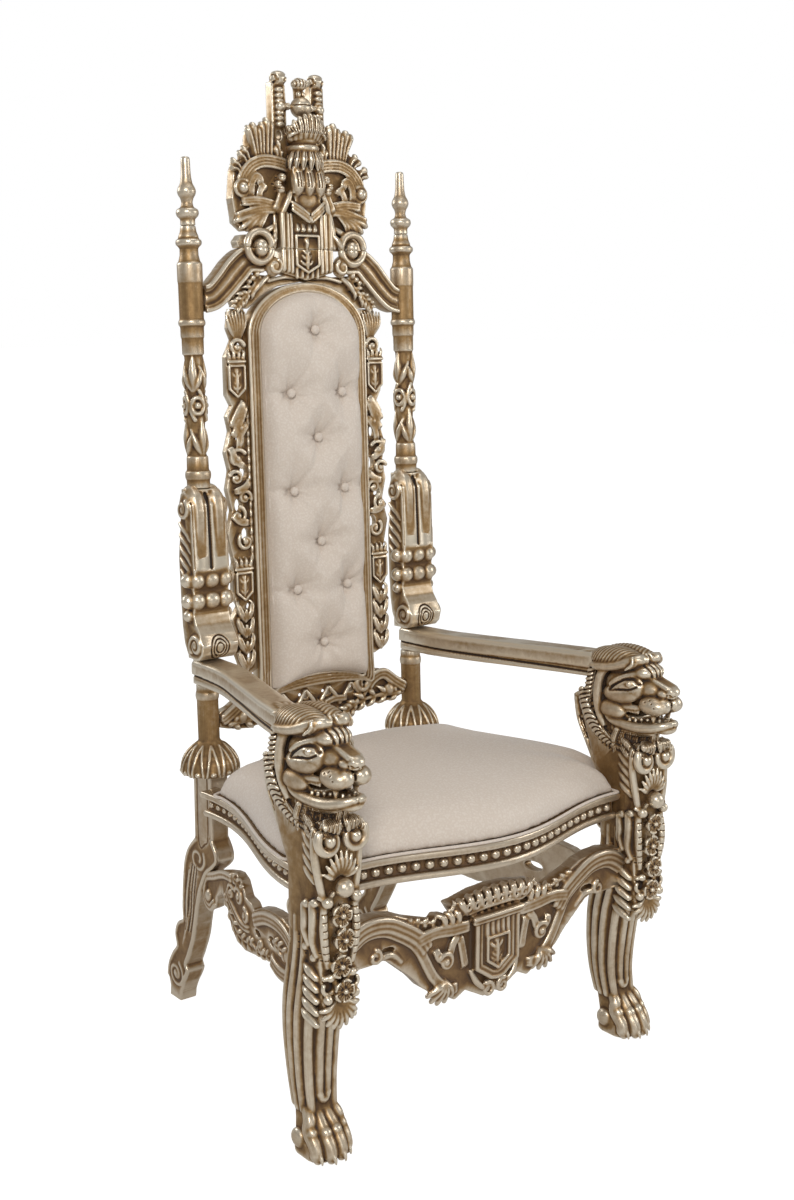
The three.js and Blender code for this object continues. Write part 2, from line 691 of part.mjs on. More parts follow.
function topRail() {
  const top = CREST_JOINT - GAP / 2
  const arms = [1, -1].flatMap((side) => {
    const line = curve(BAND_LINE, 7).map(([x, z]) => [side * x, z])
    const ends = [
      bossToFront(side * 82, -34, CREST_REAR, 1459, 19, 12, 6),
      bossToFront(side * 122, -34, CREST_REAR, 1500, 25, 17, 8),
    ]
    return [frontPlate(band(line, 22, 25, 19), -22, 20), ...ends]
  })
  const webHalf = [
    [0, 1446], [80, 1450], [110, 1452], [140, 1436], [166, 1404], [160, 1391], [100, 1391], [70, 1410],
  ]
  const webOutline = [...webHalf, ...webHalf.slice(1).reverse().map(([x, z]) => [-x, z])]
  const web = frontPlate(webOutline, -8, 10, [
    oval(128, 1418, 7, 9, 6), oval(-128, 1418, 7, 9, 6),
  ])
  const whole = joined([...arms, web, plaque(1440, top + SPARE), shieldHalf(top + SPARE, 1456)])
  const above = box(-400, 400, -100, 100, top, top + 200)
  const posts = [225.2, -425.2].map((x) => box(x, x + 200, -100, 100, 1300, 1500))
  const opening = archOutline(FRAME_HALF + GAP, FRAME_SPRING, FRAME_RISE + GAP, ...OUTER, 12)
  const arch = frontPlate(opening, -100, 100)
  const behind = box(-PLAQUE_HALF - 1, PLAQUE_HALF + 1, CREST_REAR, 100, 1430, 1600)
  return cut(whole, [above, ...posts, arch, behind])
}

function crest() {
  const low = CREST_JOINT + GAP / 2
  const edge = [
    [0, low - SPARE], [146, low - SPARE], [148, 1510], [140, 1520], [116, 1523], [100, 1528],
    [112, 1534], [131, 1530],
    [150, 1548], [150, 1566], [156, 1590], [154, 1616], [151, 1644], [143, 1661], [128, 1664],
    [128, 1680], [116, 1690], [113, 1719], [92, 1725], [84, 1712], [70, 1736], [60, 1724],
  ]
  const horn = [[60, 1800], [61, 1812], [54, 1826], [42, 1831], [30, 1826], [23, 1812], [25, 1728], [0, 1722]]
  const half = [...edge, ...horn]
  const outline = [...half, ...half.slice(1, -1).reverse().map(([x, z]) => [-x, z])]
  const piercings = [1, -1].flatMap((side) => [
    oval(side * 58, 1692, 7, 14, 6),
  ])
  const web = frontPlate(outline, -8, CREST_REAR + SPARE, piercings)
  const sides = [1, -1].flatMap((side) => {
    const turn = (points) => points.map(([x, z]) => [side * x, z])
    const shoulderLine = [[46, 1646], [84, 1650], [118, 1640], [140, 1612], [130, 1584], [114, 1600]]
    const shoulder = curve(turn(shoulderLine), 6)
    const belly = curve(turn([[60, 1584], [96, 1574], [134, 1560], [140, 1542]]), 3)
    const plumes = [[96, 1660, 102, 1720, 9], [72, 1664, 72, 1730, 7]]
    return [
      frontPlate(band(shoulder, 9, 12, 7), -17, -6),
      frontPlate(band(belly, 5, 10, 4), -15, -6),
      ...plumes.map(([x0, z0, x1, z1, width]) => {
        const spine = turn([[x0, z0], [(x0 + x1) / 2 + 3, (z0 + z1) / 2], [x1, z1]])
        return frontPlate(band(spine, 4, width, width), -14, -6)
      }),
      bossToFront(side * 42, -18, CREST_REAR + SPARE, 1812, 19, 13, 8),
      bossToFront(side * 122, -34, CREST_REAR, 1500, 25, 17, 8),
    ]
  })
  const rod = bossAlongX(-32, 32, -2, 1764, 5, 5, 6)
  const knob = [frontPlate(oval(0, 1806, 20, 10, 8), -18, 8), box(-13, 13, -14, 6, 1776, 1800)]
  const crownProfile = [[1683, 27], [1694, 28], [1698, 24], [1720, 46], [1727, 40]]
  const crownRound = moved(turned(crownProfile, 8), (x, y, z) => [x, 0.75 * y, z])
  const points = frontPlate([
    [-44, 1722], [44, 1722], [38, 1738], [16, 1734], [0, 1748], [-16, 1734], [-38, 1738],
  ], -30, -6)
  const collar = frontPlate(fan(0, 1676, 41, 34, Math.PI, 7), -34, -6)
  const bib = frontPlate([
    [-35, 1660], [35, 1660], [35, 1590], [18, 1598], [0, 1582], [-18, 1598], [-35, 1590],
  ], -30, -6)
  const tip = frontPlate([[-34, 1600], [34, 1600], [24, 1576], [0, 1562], [-24, 1576]], -24, -6)
  const whole = joined([
    web, ...sides, rod, ...knob, ball(0, -4, 1763, 21, 17, 20), crownRound, points, collar, bib, tip,
    plaque(low - SPARE, 1566), shieldHalf(1524, low - SPARE),
  ])
  return cut(whole, [box(-400, 400, -100, 100, low - 200, low), box(-400, 400, CREST_REAR, 100, 1400, 1900)])
}

function lowerOrnament() {
  const half = [
    [0, 652], [70, 652], [FRAME_HALF + GAP, 652], [150, 659], [168, 656], [188, 645], [206, 634],
    [227.2, 628], [227.2, 596], [208, 592], [186, 588], [159, 585], [132, 590], [108, 583], [77, 566],
    [40, 554], [0, 548],
  ]
  const outline = [...half, ...half.slice(1, -1).reverse().map(([x, z]) => [-x, z])]
  const piercings = [-84, -28, 28, 84].map((x) => oval(x, 632 - (x * x) / 2400, 17, 8, 6))
  const web = frontPlate(outline, -8, 12, piercings)
  const scrolls = [1, -1].flatMap((side) => {
    const turn = (points) => points.map(([x, z]) => [side * x, z])
    return [
      frontPlate(band(curve(turn([[226, 612], [196, 624], [162, 640], [132, 628]]), 4), 13, 15, 8), -18, -6),
      frontPlate(band(curve(turn([[150, 606], [110, 604], [70, 584], [20, 566]]), 4), 9, 9, 6), -16, -6),
    ]
  })
  const [corner, middle] = OUTER
  const hole = archOutline(FRAME_HALF + GAP, FRAME_SPRING, FRAME_RISE + GAP, corner - GAP, middle - GAP, 8)
  const outer = frontPlate(hole, -100, 100)
  const posts = [1, -1].map((side) => box(side * 327.2 - 100, side * 327.2 + 100, -100, 100, 500, 700))
  return cut(joined([web, ...scrolls]), [outer, ...posts])
}

// Assembly. Left and right are as seen by someone who faces the throne.
const leg = frontLeg()
const rear = rearLeg()
addPair(throne, 'front_leg', leg, GILT)
addPair(throne, 'rear_leg', rear, GILT)
addPair(throne, 'arm', arm(), GILT)
addPart(throne, 'seat_rail_front', frontRail(), GILT)
addPair(throne, 'seat_rail', sideRail(leg), GILT)
addPart(throne, 'seat_rail_rear', box(GAP - BLOCK_IN, BLOCK_IN - GAP, 486, 516, SEAT_BOTTOM, SEAT_TOP), GILT)
addPart(throne, 'seat_cushion', cushion(leg), FABRIC)
addPart(throne, 'front_stretcher', frontStretcher(leg), GILT)
addPair(throne, 'side_stretcher', sideStretcher(leg, rear), GILT)

addPair(back, 'finial', finial(), GILT)
addPair(back, 'upper_post', upperPost(), GILT)
addPair(back, 'console', scrollConsole(), GILT)
addPair(back, 'lower_post', lowerPost(), GILT)
addPart(back, 'back_frame', backFrame(), GILT)
addPart(back, 'back_pad', backPad(), FABRIC)
addPair(back, 'side_panel', sidePanel(), GILT)
addPart(back, 'top_rail', topRail(), GILT)
addPart(back, 'crest', crest(), GILT)
addPart(back, 'lower_ornament', lowerOrnament(), GILT)

export default throne
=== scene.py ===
import math

import bmesh
import bpy
import numpy as np
from mathutils.geometry import tessellate_polygon
from mathutils import Matrix, Vector, kdtree


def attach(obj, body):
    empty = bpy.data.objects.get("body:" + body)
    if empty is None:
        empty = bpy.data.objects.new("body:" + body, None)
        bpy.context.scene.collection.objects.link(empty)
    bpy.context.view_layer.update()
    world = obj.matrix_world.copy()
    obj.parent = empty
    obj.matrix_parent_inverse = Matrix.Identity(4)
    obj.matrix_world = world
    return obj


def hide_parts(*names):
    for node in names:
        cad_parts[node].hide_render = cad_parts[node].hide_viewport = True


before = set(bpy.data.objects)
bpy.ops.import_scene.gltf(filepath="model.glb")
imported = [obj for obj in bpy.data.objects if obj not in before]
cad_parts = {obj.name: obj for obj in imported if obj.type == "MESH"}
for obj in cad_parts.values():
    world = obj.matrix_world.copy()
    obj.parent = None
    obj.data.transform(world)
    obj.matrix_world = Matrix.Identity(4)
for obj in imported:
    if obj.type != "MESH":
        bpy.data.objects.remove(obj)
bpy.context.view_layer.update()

# All carving is drawn in millimetres: x to the viewer's right, y rearwards, z up, with y = 0 over the
# middle of the front feet. Pieces of the back are drawn on an upright back and leant at the end.
mm = 0.001
depthShift = -287
backFoot = 495.7
backLean = math.atan(0.0389)
armSpread = 361
postSpread = 248


def toRow(leaning):
    shift = Matrix.Translation((0, depthShift, 0))
    lean = Matrix.Translation((0, backFoot, 0)) @ Matrix.Rotation(-backLean, 4, "X")
    return Matrix.Scale(mm, 4) @ shift @ (lean if leaning else Matrix())


# Camera, lights and floor

view = {
    "place": (-1.7339, -2.2241, 1.3742),
    "right": (0.78601, -0.61822, 0.0),
    "up": (0.10424, 0.13254, 0.98569),
    "back": (-0.60937, -0.77476, 0.16862),
    "lens": 46.21,
    "shift": (0.00385, -0.01731),
}


def makeCamera():
    data = bpy.data.cameras.new("camera")
    data.sensor_width = 36
    data.lens = view["lens"]
    data.shift_x, data.shift_y = view["shift"]
    camera = addObject("camera", data)
    turn = Matrix((view["right"], view["up"], view["back"])).transposed().to_4x4()
    camera.matrix_world = Matrix.Translation(view["place"]) @ turn
    bpy.context.scene.camera = camera


studio = {
    # name: place, aim, size, watts, colour
    "key": ((-2.6, -3.0, 3.2), (0, 0, 0.95), 1.1, 78, (1.0, 0.97, 0.93)),
    "side": ((2.9, -2.2, 1.9), (0, 0, 0.9), 1.6, 26, (1.0, 0.98, 0.95)),
    "front": ((-0.6, -4.0, 1.2), (0, 0, 0.8), 1.2, 10, (1.0, 0.99, 0.97)),
    "rim": ((-1.9, 2.9, 2.6), (0, 0, 1.1), 1.4, 26, (0.97, 0.98, 1.0)),
    "top": ((0.4, -0.2, 4.2), (0, 0, 0), 1.6, 16, (1.0, 1.0, 1.0)),
}

glow = {"sky": 0.36, "floor": 0.12, "floorSeen": 0.84, "floorShade": 0.62, "floorSize": 60}
white = (1.0, 1.0, 1.0, 1)


def makeLamps():
    for name, (place, aim, size, watts, colour) in studio.items():
        data = bpy.data.lights.new(name, "AREA")
        data.size = size
        data.energy = watts
        data.color = colour
        lamp = addObject(name, data)
        lamp.location = place
        lamp.rotation_mode = "QUATERNION"
        lamp.rotation_quaternion = (Vector(aim) - Vector(place)).to_track_quat("-Z", "Y")


# The sky lights the throne softly, and is plain white where the camera sees it.
def makeSky():
    world = bpy.data.worlds.new("studio")
    world.use_nodes = True
    tree = world.node_tree
    sky = put(tree.nodes["Background"], Color=white, Strength=glow["sky"])
    backdrop = put(node(tree, "ShaderNodeBackground"), Color=white)
    seen = node(tree, "ShaderNodeLightPath")
    choice = node(tree, "ShaderNodeMixShader")
    wire(tree, seen.outputs["Is Camera Ray"], choice.inputs["Fac"])
    wire(tree, sky.outputs["Background"], choice.inputs[1])
    wire(tree, backdrop.outputs["Background"], choice.inputs[2])
    wire(tree, choice.outputs["Shader"], tree.nodes["World Output"].inputs["Surface"])
    bpy.context.scene.world = world


# The floor takes a soft shadow and melts into the backdrop.
def makeFloor():
    bm = bmesh.new()
    bmesh.ops.create_grid(bm, x_segments=1, y_segments=1, size=glow["floorSize"])
    mesh = meshOf(bm, "floor")
    paint, tree, shader = newPaint("floor_paint")
    put(shader, Roughness=0.8, Base_Color=(*gray(glow["floorShade"]), 1), Emission_Color=white)
    seen = node(tree, "ShaderNodeLightPath")
    lift = ranged(tree, seen.outputs["Is Camera Ray"], To_Min=glow["floor"], To_Max=glow["floorSeen"])
    wire(tree, lift, shader.inputs["Emission Strength"])
    mesh.materials.append(paint)
    addObject("floor", mesh)


# Objects, meshes and node helpers

def addObject(name, data):
    made = bpy.data.objects.new(name, data)
    bpy.context.scene.collection.objects.link(made)
    return made


def meshOf(bm, name):
    mesh = bpy.data.meshes.new(name)
    bm.to_mesh(mesh)
    bm.free()
    return mesh


def newPaint(name):
    paint = bpy.data.materials.new(name)
    paint.use_nodes = True
    return paint, paint.node_tree, paint.node_tree.nodes["Principled BSDF"]


def node(tree, kind, **values):
    made = tree.nodes.new(kind)
    for key, value in values.items():
        setattr(made, key, value)
    return made


def wire(tree, source, target):
    tree.links.new(source, target)


def put(made, **values):
    for key, value in values.items():
        made.inputs[key.replace("_", " ")].default_value = value
    return made


def makeGroup(name, inputs, outputs):
    group = bpy.data.node_groups.new(name, "ShaderNodeTree")
    for label, kind, value in inputs:
        socket = group.interface.new_socket(label, in_out="INPUT", socket_type=kind)
        socket.default_value = value
    for label, kind in outputs:
        group.interface.new_socket(label, in_out="OUTPUT", socket_type=kind)
    return group, node(group, "NodeGroupInput"), node(group, "NodeGroupOutput")


def mixColour(tree):
    mix = node(tree, "ShaderNodeMix", data_type="RGBA")
    return mix.inputs["Factor"], mix.inputs[6], mix.inputs[7], mix.outputs[2]


# Each value is a number or the output of another node.
def reckon(tree, operation, *values):
    made = node(tree, "ShaderNodeMath", operation=operation)
    for socket, value in zip(made.inputs, values):
        if isinstance(value, float):
            socket.default_value = value
        else:
            wire(tree, value, socket)
    return made.outputs[0]


def ranged(tree, value, **limits):
    made = put(node(tree, "ShaderNodeMapRange"), **limits)
    wire(tree, value, made.inputs["Value"])
    return made.outputs["Result"]


def addBump(tree, shader, height, strength, distance):
    bump = put(node(tree, "ShaderNodeBump"), Strength=strength, Distance=distance)
    wire(tree, height, bump.inputs["Height"])
    wire(tree, bump.outputs["Normal"], shader.inputs["Normal"])


def rampOf(tree, stops):
    ramp = node(tree, "ShaderNodeValToRGB")
    bar = ramp.color_ramp
    while len(bar.elements) < len(stops):
        bar.elements.new(0.5)
    for element, (place, shade) in zip(bar.elements, stops):
        element.position = place
        element.color = shade if len(shade) == 4 else (*shade, 1)
    return ramp


def gray(value):
    return (value, value, value)


makeCamera()
makeLamps()
makeSky()
makeFloor()
bpy.context.scene.view_settings.view_transform = "Standard"
print("camera and studio ready")


# Finishes

gilding = {
    # near black in the pits and dark brown in the hollows: patina deepened into painted shade
    "pitPatinaAndPaintedShade": (0.026, 0.014, 0.008),
    "shade": (0.125, 0.067, 0.029),
    "leaf": (0.36, 0.228, 0.102),
    # pale on the edges: rubbed leaf, partly a painted highlight
    "edge": (0.78, 0.69, 0.55),
    "stops": (0.06, 0.26, 0.46, 0.74),
    "brown": (0.34, 0.215, 0.125, 1),
    "noise": {"broad": (9.0, 4.0, 0.6), "fine": (85.0, 5.0, 0.65), "grain": (420.0, 3.0, 0.6)},
    "fineShare": 0.26,
    "broadShare": 0.30,
    "level": 0.33,
    "rough": (0.30, 0.62),
    "metal": (0.25, 0.86),
    "bump": (0.22, 0.0006),
}


# Gold leaf over brown size: pits stay dark, edges are rubbed pale. The dark in the hollows is brown
# patina deepened into painted shade, and the pale edges are partly a painted highlight. The relief
# attribute is 0 deep in the carving, 0.5 on flat ground and 1 on the edges.
def makeGildingGroup():
    group, source, target = makeGroup(
        "wornGildingPaintedLight",
        [("Paleness", "NodeSocketFloat", 0.0), ("Brown", "NodeSocketFloat", 0.0)],
        [("Colour", "NodeSocketColor"), ("Metal", "NodeSocketFloat"), ("Rough", "NodeSocketFloat"),
         ("Height", "NodeSocketFloat")],
    )
    relief = node(group, "ShaderNodeAttribute", attribute_name="relief")
    where = node(group, "ShaderNodeTexCoord")
    noise = {}
    for name, (scale, detail, roughness) in gilding["noise"].items():
        made = put(node(group, "ShaderNodeTexNoise"), Scale=scale, Detail=detail, Roughness=roughness)
        wire(group, where.outputs["Object"], made.inputs["Vector"])
        noise[name] = made.outputs["Fac"]
    # the relief, loosened by two scales of noise; low values give painted shade, high values a painted
    # highlight
    wearAndPaintedLight = reckon(group, "MULTIPLY_ADD", noise["fine"], gilding["fineShare"], relief.outputs["Fac"])
    wearAndPaintedLight = reckon(group, "MULTIPLY_ADD", noise["broad"], gilding["broadShare"], wearAndPaintedLight)
    wearAndPaintedLight = reckon(group, "ADD", wearAndPaintedLight, source.outputs["Paleness"])
    wearAndPaintedLight = reckon(group, "SUBTRACT", wearAndPaintedLight, gilding["level"])
    shades = [gilding[name] for name in ("pitPatinaAndPaintedShade", "shade", "leaf", "edge")]
    ramp = rampOf(group, list(zip(gilding["stops"], shades)))
    wire(group, wearAndPaintedLight, ramp.inputs["Fac"])
    amount, first, second, mixed = mixColour(group)
    wire(group, ramp.outputs["Color"], first)
    second.default_value = gilding["brown"]
    wire(group, source.outputs["Brown"], amount)
    wire(group, mixed, target.inputs["Colour"])
    dull, bright = gilding["metal"]
    smooth, rough = gilding["rough"]
    wire(group, ranged(group, wearAndPaintedLight, From_Min=0.08, From_Max=0.4, To_Min=dull, To_Max=bright),
         target.inputs["Metal"])
    wire(group, ranged(group, wearAndPaintedLight, From_Min=0.3, From_Max=0.75, To_Min=rough, To_Max=smooth),
         target.inputs["Rough"])
    wire(group, reckon(group, "MULTIPLY_ADD", noise["fine"], 2.0, noise["grain"]), target.inputs["Height"])
    return group


def makeGilding(name, paleness, brown):
    paint, tree, shader = newPaint(name)
    wearAndPaintedLight = node(tree, "ShaderNodeGroup")
    wearAndPaintedLight.node_tree = gildingGroup
    put(wearAndPaintedLight, Paleness=paleness, Brown=brown)
    wire(tree, wearAndPaintedLight.outputs["Colour"], shader.inputs["Base Color"])
    wire(tree, wearAndPaintedLight.outputs["Metal"], shader.inputs["Metallic"])
    wire(tree, wearAndPaintedLight.outputs["Rough"], shader.inputs["Roughness"])
    addBump(tree, shader, wearAndPaintedLight.outputs["Height"], *gilding["bump"])
    return paint


gildingGroup = makeGildingGroup()
gold = makeGilding("champagne_leaf", 0.0, 0.0)
silverGold = makeGilding("pale_champagne_leaf", 0.10, 0.0)
rosyGold = makeGilding("rubbed_rosy_leaf", 0.03, 0.22)


brocade = {
    "ground": (0.66, 0.575, 0.495, 1),
    "figure": (0.715, 0.64, 0.565, 1),
    "threads": 250,
    "figures": 230,
    "rough": (0.62, 0.36),
    "figureLift": 1.6,
    "bump": (0.25, 0.0004),
}


# Satin brocade: a woven ground with a small scattered figure that shines a little more.
def makeBrocade():
    paint, tree, shader = newPaint("cream_brocade")
    where = node(tree, "ShaderNodeTexCoord")
    figure = put(node(tree, "ShaderNodeTexVoronoi", feature="SMOOTH_F1"), Scale=brocade["figures"])
    wire(tree, where.outputs["Object"], figure.inputs["Vector"])
    edges = rampOf(tree, [(0.25, gray(1)), (0.5, gray(0)), (0.75, gray(0.7))])
    wire(tree, figure.outputs["Distance"], edges.inputs["Fac"])
    amount, first, second, mixed = mixColour(tree)
    first.default_value = brocade["ground"]
    second.default_value = brocade["figure"]
    wire(tree, edges.outputs["Color"], amount)
    wire(tree, mixed, shader.inputs["Base Color"])
    dull, smooth = brocade["rough"]
    wire(tree, ranged(tree, edges.outputs["Color"], To_Min=dull, To_Max=smooth), shader.inputs["Roughness"])
    weave = node(tree, "ShaderNodeTexWave", wave_type="BANDS", bands_direction="DIAGONAL")
    put(weave, Scale=brocade["threads"], Distortion=0.4)
    wire(tree, where.outputs["Object"], weave.inputs["Vector"])
    height = reckon(tree, "MULTIPLY_ADD", edges.outputs["Color"], brocade["figureLift"], weave.outputs["Fac"])
    addBump(tree, shader, height, *brocade["bump"])
    put(shader, Sheen_Weight=0.35, Sheen_Roughness=0.4, Specular_IOR_Level=0.42)
    return paint


satin = makeBrocade()
print("finishes ready")


# Carving tools. A carving gathers solid shapes and round strokes; fusing joins them into one skin,
# as cut from one block, and fine grooves are then pressed into it.

reliefRule = {"fine": 3, "broad": 22, "hollow": 0.8, "sharpShare": 0.42, "deepShare": 0.115}
farDown = -1e9


def newCarving():
    return {"solids": bmesh.new(), "strokes": {}, "grooves": []}


# Points are (x, y, z, radius); the run between them is smooth.
def smoothRun(points, step=3.0):
    knots = [Vector(p) for p in points]
    run = []
    for i in range(len(knots) - 1):
        before, a = knots[max(i - 1, 0)], knots[i]
        b, after = knots[i + 1], knots[min(i + 2, len(knots) - 1)]
        count = max(2, round((b - a).xyz.length / step))
        for k in range(count):
            t = k / count
            run.append(0.5 * (2 * a + (b - before) * t + (2 * before - 5 * a + 4 * b - after) * t * t
                              + (3 * a - before - 3 * b + after) * t ** 3))
    run.append(knots[-1])
    return run


def roundedEnds(run):
    caps = []
    for end, inner in ((run[0], run[1]), (run[-1], run[-2])):
        outward = (end.xyz - inner.xyz).normalized()
        radius = end.w
        caps.append([Vector((*(end.xyz + outward * radius * reach), max(radius * share, 0.2)))
                     for reach, share in ((0.98, 0.2), (0.8, 0.6), (0.45, 0.89))])
    return caps[0] + run + caps[1][::-1]


def addStroke(work, points, scale=(1, 1, 1), step=3.0):
    run = roundedEnds(smoothRun(points, step))
    work["strokes"].setdefault(tuple(scale), []).append(run)


def addBall(work, centre, radii, turn=None):
    if not hasattr(radii, "__len__"):
        radii = (radii, radii, radii)
    place = Matrix.Translation(centre) @ (turn or Matrix()) @ Matrix.Diagonal((*radii, 1))
    bmesh.ops.create_icosphere(work["solids"], subdivisions=3, radius=1, matrix=place)


def addBox(work, low, high, turn=None):
    low, high = Vector(low), Vector(high)
    place = Matrix.Translation((low + high) / 2) @ (turn or Matrix()) @ Matrix.Diagonal((*(high - low), 1))
    bmesh.ops.create_cube(work["solids"], size=1, matrix=place)


# An outline drawn from the front (x, z), the side (y, z) or above (x, y), given a thickness.
def addSlab(work, outline, low, high, plane="front"):
    lift = {
        "front": lambda u, v, w: (u, w, v),
        "side": lambda u, v, w: (w, u, v),
        "top": lambda u, v, w: (u, v, w),
    }[plane]
    bm = work["solids"]
    face = bm.faces.new([bm.verts.new(lift(u, v, low)) for u, v in outline])
    grown = bmesh.ops.extrude_face_region(bm, geom=[face])["geom"]
    moved = [g for g in grown if isinstance(g, bmesh.types.BMVert)]
    bmesh.ops.translate(bm, verts=moved, vec=lift(0, 0, high - low))


# Rings of points, all of one length, joined into a closed skin.
def addSkin(bm, rings):
    loops = []
    for ring in rings:
        verts = [bm.verts.new(point) for point in ring]
        loops.append([bm.edges.new(pair) for pair in zip(verts, verts[1:] + verts[:1])])
        if ring is rings[0] or ring is rings[-1]:
            bm.faces.new(verts)
    for near, far in zip(loops, loops[1:]):
        bmesh.ops.bridge_loops(bm, edges=near + far)


def addLathe(work, profile, centre=(0, 0), steps=40):
    bm = work["solids"]
    ends = [(profile[0][0], 0.0), *profile, (profile[-1][0], 0.0)]
    verts = [bm.verts.new((centre[0] + r, centre[1], z)) for z, r in ends]
    edges = [bm.edges.new(pair) for pair in zip(verts, verts[1:])]
    bmesh.ops.spin(bm, geom=verts + edges, cent=(*centre, 0), axis=(0, 0, 1), dvec=(0, 0, 0),
                   angle=2 * math.pi, steps=steps, use_merge=True, use_duplicate=False)


def arcRun(cx, cz, a, b, start, stop, count=12):
    return [(cx + a * math.cos(start + (stop - start) * k / count),
             cz + b * math.sin(start + (stop - start) * k / count)) for k in range(count + 1)]


# A spiral of (u, v, radius), wound inwards from the outer turn to the eye.
def scrollRun(cu, cv, outer, inner, start, turns, thick, thin, count=26):
    run = []
    for k in range(count + 1):
        t = k / count
        reach = outer + (inner - outer) * t ** 0.85
        angle = start + turns * 2 * math.pi * t
        run.append((cu + reach * math.cos(angle), cv + reach * math.sin(angle), thick + (thin - thick) * t))
    return run


def addFrontScroll(work, y, *scroll):
    addStroke(work, [(u, y, v, r) for u, v, r in scrollRun(*scroll)])


def addSideScroll(work, x, *scroll):
    addStroke(work, [(x, u, v, r) for u, v, r in scrollRun(*scroll)])


def addGroove(work, plane, points, width=2.2, depth=1.5, facing=-1, above=farDown):
    work["grooves"].append((plane, points, width, depth, facing, above))


# Presses every groove into the vertices that face its drawing plane.
def pressGrooves(coords, normals, grooves):
    planes = {"front": (0, 2, 1), "side": (1, 2, 0), "top": (0, 1, 2)}
    sink = np.zeros(len(coords))
    for key in sorted({(g[0], g[4], g[5]) for g in grooves}):
        plane, facing, above = key
        u, v, w = planes[plane]
        picked = np.nonzero((normals[:, w] * facing > 0.22) & (coords[:, 2] > above))[0]
        tree = kdtree.KDTree(len(picked))
        for n, (a, b) in enumerate(coords[picked][:, [u, v]]):
            tree.insert((a, b, 0), n)
        tree.balance()
        for _, points, width, depth, _, _ in (g for g in grooves if (g[0], g[4], g[5]) == key):
            spread = {}
            for p in smoothRun([(q[0], q[1], 0, q[2] if len(q) > 2 else 1) for q in points], width * 0.5):
                for _, n, distance in tree.find_range((p.x, p.y, 0), width):
                    press = depth * p.w * (1 - (distance / width) ** 2)
                    if abs(press) > abs(spread.get(n, 0)):
                        spread[n] = press
            for n, press in spread.items():
                at = picked[n]
                if abs(press) > abs(sink[at]):
                    sink[at] = press
    return coords - normals * sink[:, None]


def relaxed(coords, edges, rounds):
    count = len(coords)
    degree = np.bincount(edges.ravel(), minlength=count).astype(float)
    degree[degree == 0] = 1
    out = coords.copy()
    for _ in range(rounds):
        mean = np.empty_like(out)
        for k in range(3):
            mean[:, k] = (np.bincount(edges[:, 0], out[edges[:, 1], k], count)
                          + np.bincount(edges[:, 1], out[edges[:, 0], k], count)) / degree
        out = mean
    return out


# How each point lies in the carving: 0 deep in it, 0.5 on level ground, 1 on an edge.
def measureRelief(coords, normals, edges):
    fine = relaxed(coords, edges, reliefRule["fine"])
    broad = relaxed(fine, edges, reliefRule["broad"])
    sharp = np.einsum("ij,ij->i", fine - coords, normals)
    deep = np.einsum("ij,ij->i", broad - coords, normals)
    deep = np.where(deep > 0, deep * reliefRule["hollow"], deep)
    return np.clip(0.5 - reliefRule["sharpShare"] * sharp - reliefRule["deepShare"] * deep, 0, 1)


def meshArrays(mesh):
    count = len(mesh.vertices)
    coords = np.empty(count * 3)
    normals = np.empty(count * 3)
    edges = np.empty(len(mesh.edges) * 2, dtype=np.int32)
    mesh.vertices.foreach_get("co", coords)
    mesh.vertices.foreach_get("normal", normals)
    mesh.edges.foreach_get("vertices", edges)
    return coords.reshape(-1, 3), normals.reshape(-1, 3), edges.reshape(-1, 2)


def setCoords(mesh, coords):
    mesh.vertices.foreach_set("co", coords.ravel())
    mesh.update()


# Cuts a piece off flat where it meets its neighbours.
def limited(mesh, axis, low=farDown, high=-farDown):
    coords, _, _ = meshArrays(mesh)
    coords[:, axis] = np.clip(coords[:, axis], low, high)
    setCoords(mesh, coords)
    return mesh


def takenFrom(holder):
    graph = bpy.context.evaluated_depsgraph_get()
    done = bpy.data.meshes.new_from_object(holder.evaluated_get(graph))
    bpy.data.objects.remove(holder)
    return done


def applied(mesh, kind, **values):
    holder = addObject("holder", mesh)
    added = holder.modifiers.new(kind, kind)
    for key, value in values.items():
        setattr(added, key, value)
    return takenFrom(holder)


def remeshed(mesh, size):
    return applied(mesh, "REMESH", mode="VOXEL", voxel_size=size, adaptivity=0)


def strokeMesh(scale, runs):
    curve = bpy.data.curves.new("strokes", "CURVE")
    curve.dimensions = "3D"
    curve.fill_mode = "FULL"
    curve.bevel_depth = 1
    curve.bevel_resolution = 3
    curve.use_fill_caps = True
    for run in runs:
        spline = curve.splines.new("POLY")
        spline.points.add(len(run) - 1)
        flat = [c for p in run for c in (p.x / scale[0], p.y / scale[1], p.z / scale[2], 1)]
        spline.points.foreach_set("co", flat)
        spline.points.foreach_set("radius", [p.w for p in run])
    tubes = takenFrom(addObject("strokes", curve))
    tubes.transform(Matrix.Diagonal((*scale, 1)))
    return tubes


def fuse(work, voxel, triangles, soften=1):
    for scale, runs in work["strokes"].items():
        work["solids"].from_mesh(strokeMesh(scale, runs))
    skin = remeshed(meshOf(work["solids"], "raw"), voxel * (1))
    coords, normals, edges = meshArrays(skin)
    coords = relaxed(coords, edges, soften)
    if work["grooves"]:
        coords = pressGrooves(coords, normals, work["grooves"])
    setCoords(skin, coords)
    # the relief also places the gilding's painted shade in the hollows and painted highlight on the edges
    relief = skin.attributes.new("relief", "FLOAT", "POINT")
    relief.data.foreach_set("value", measureRelief(*meshArrays(skin)))
    now = sum(len(p.vertices) - 2 for p in skin.polygons)
    if now > triangles:
        skin = applied(skin, "DECIMATE", ratio=triangles / now)
    return skin


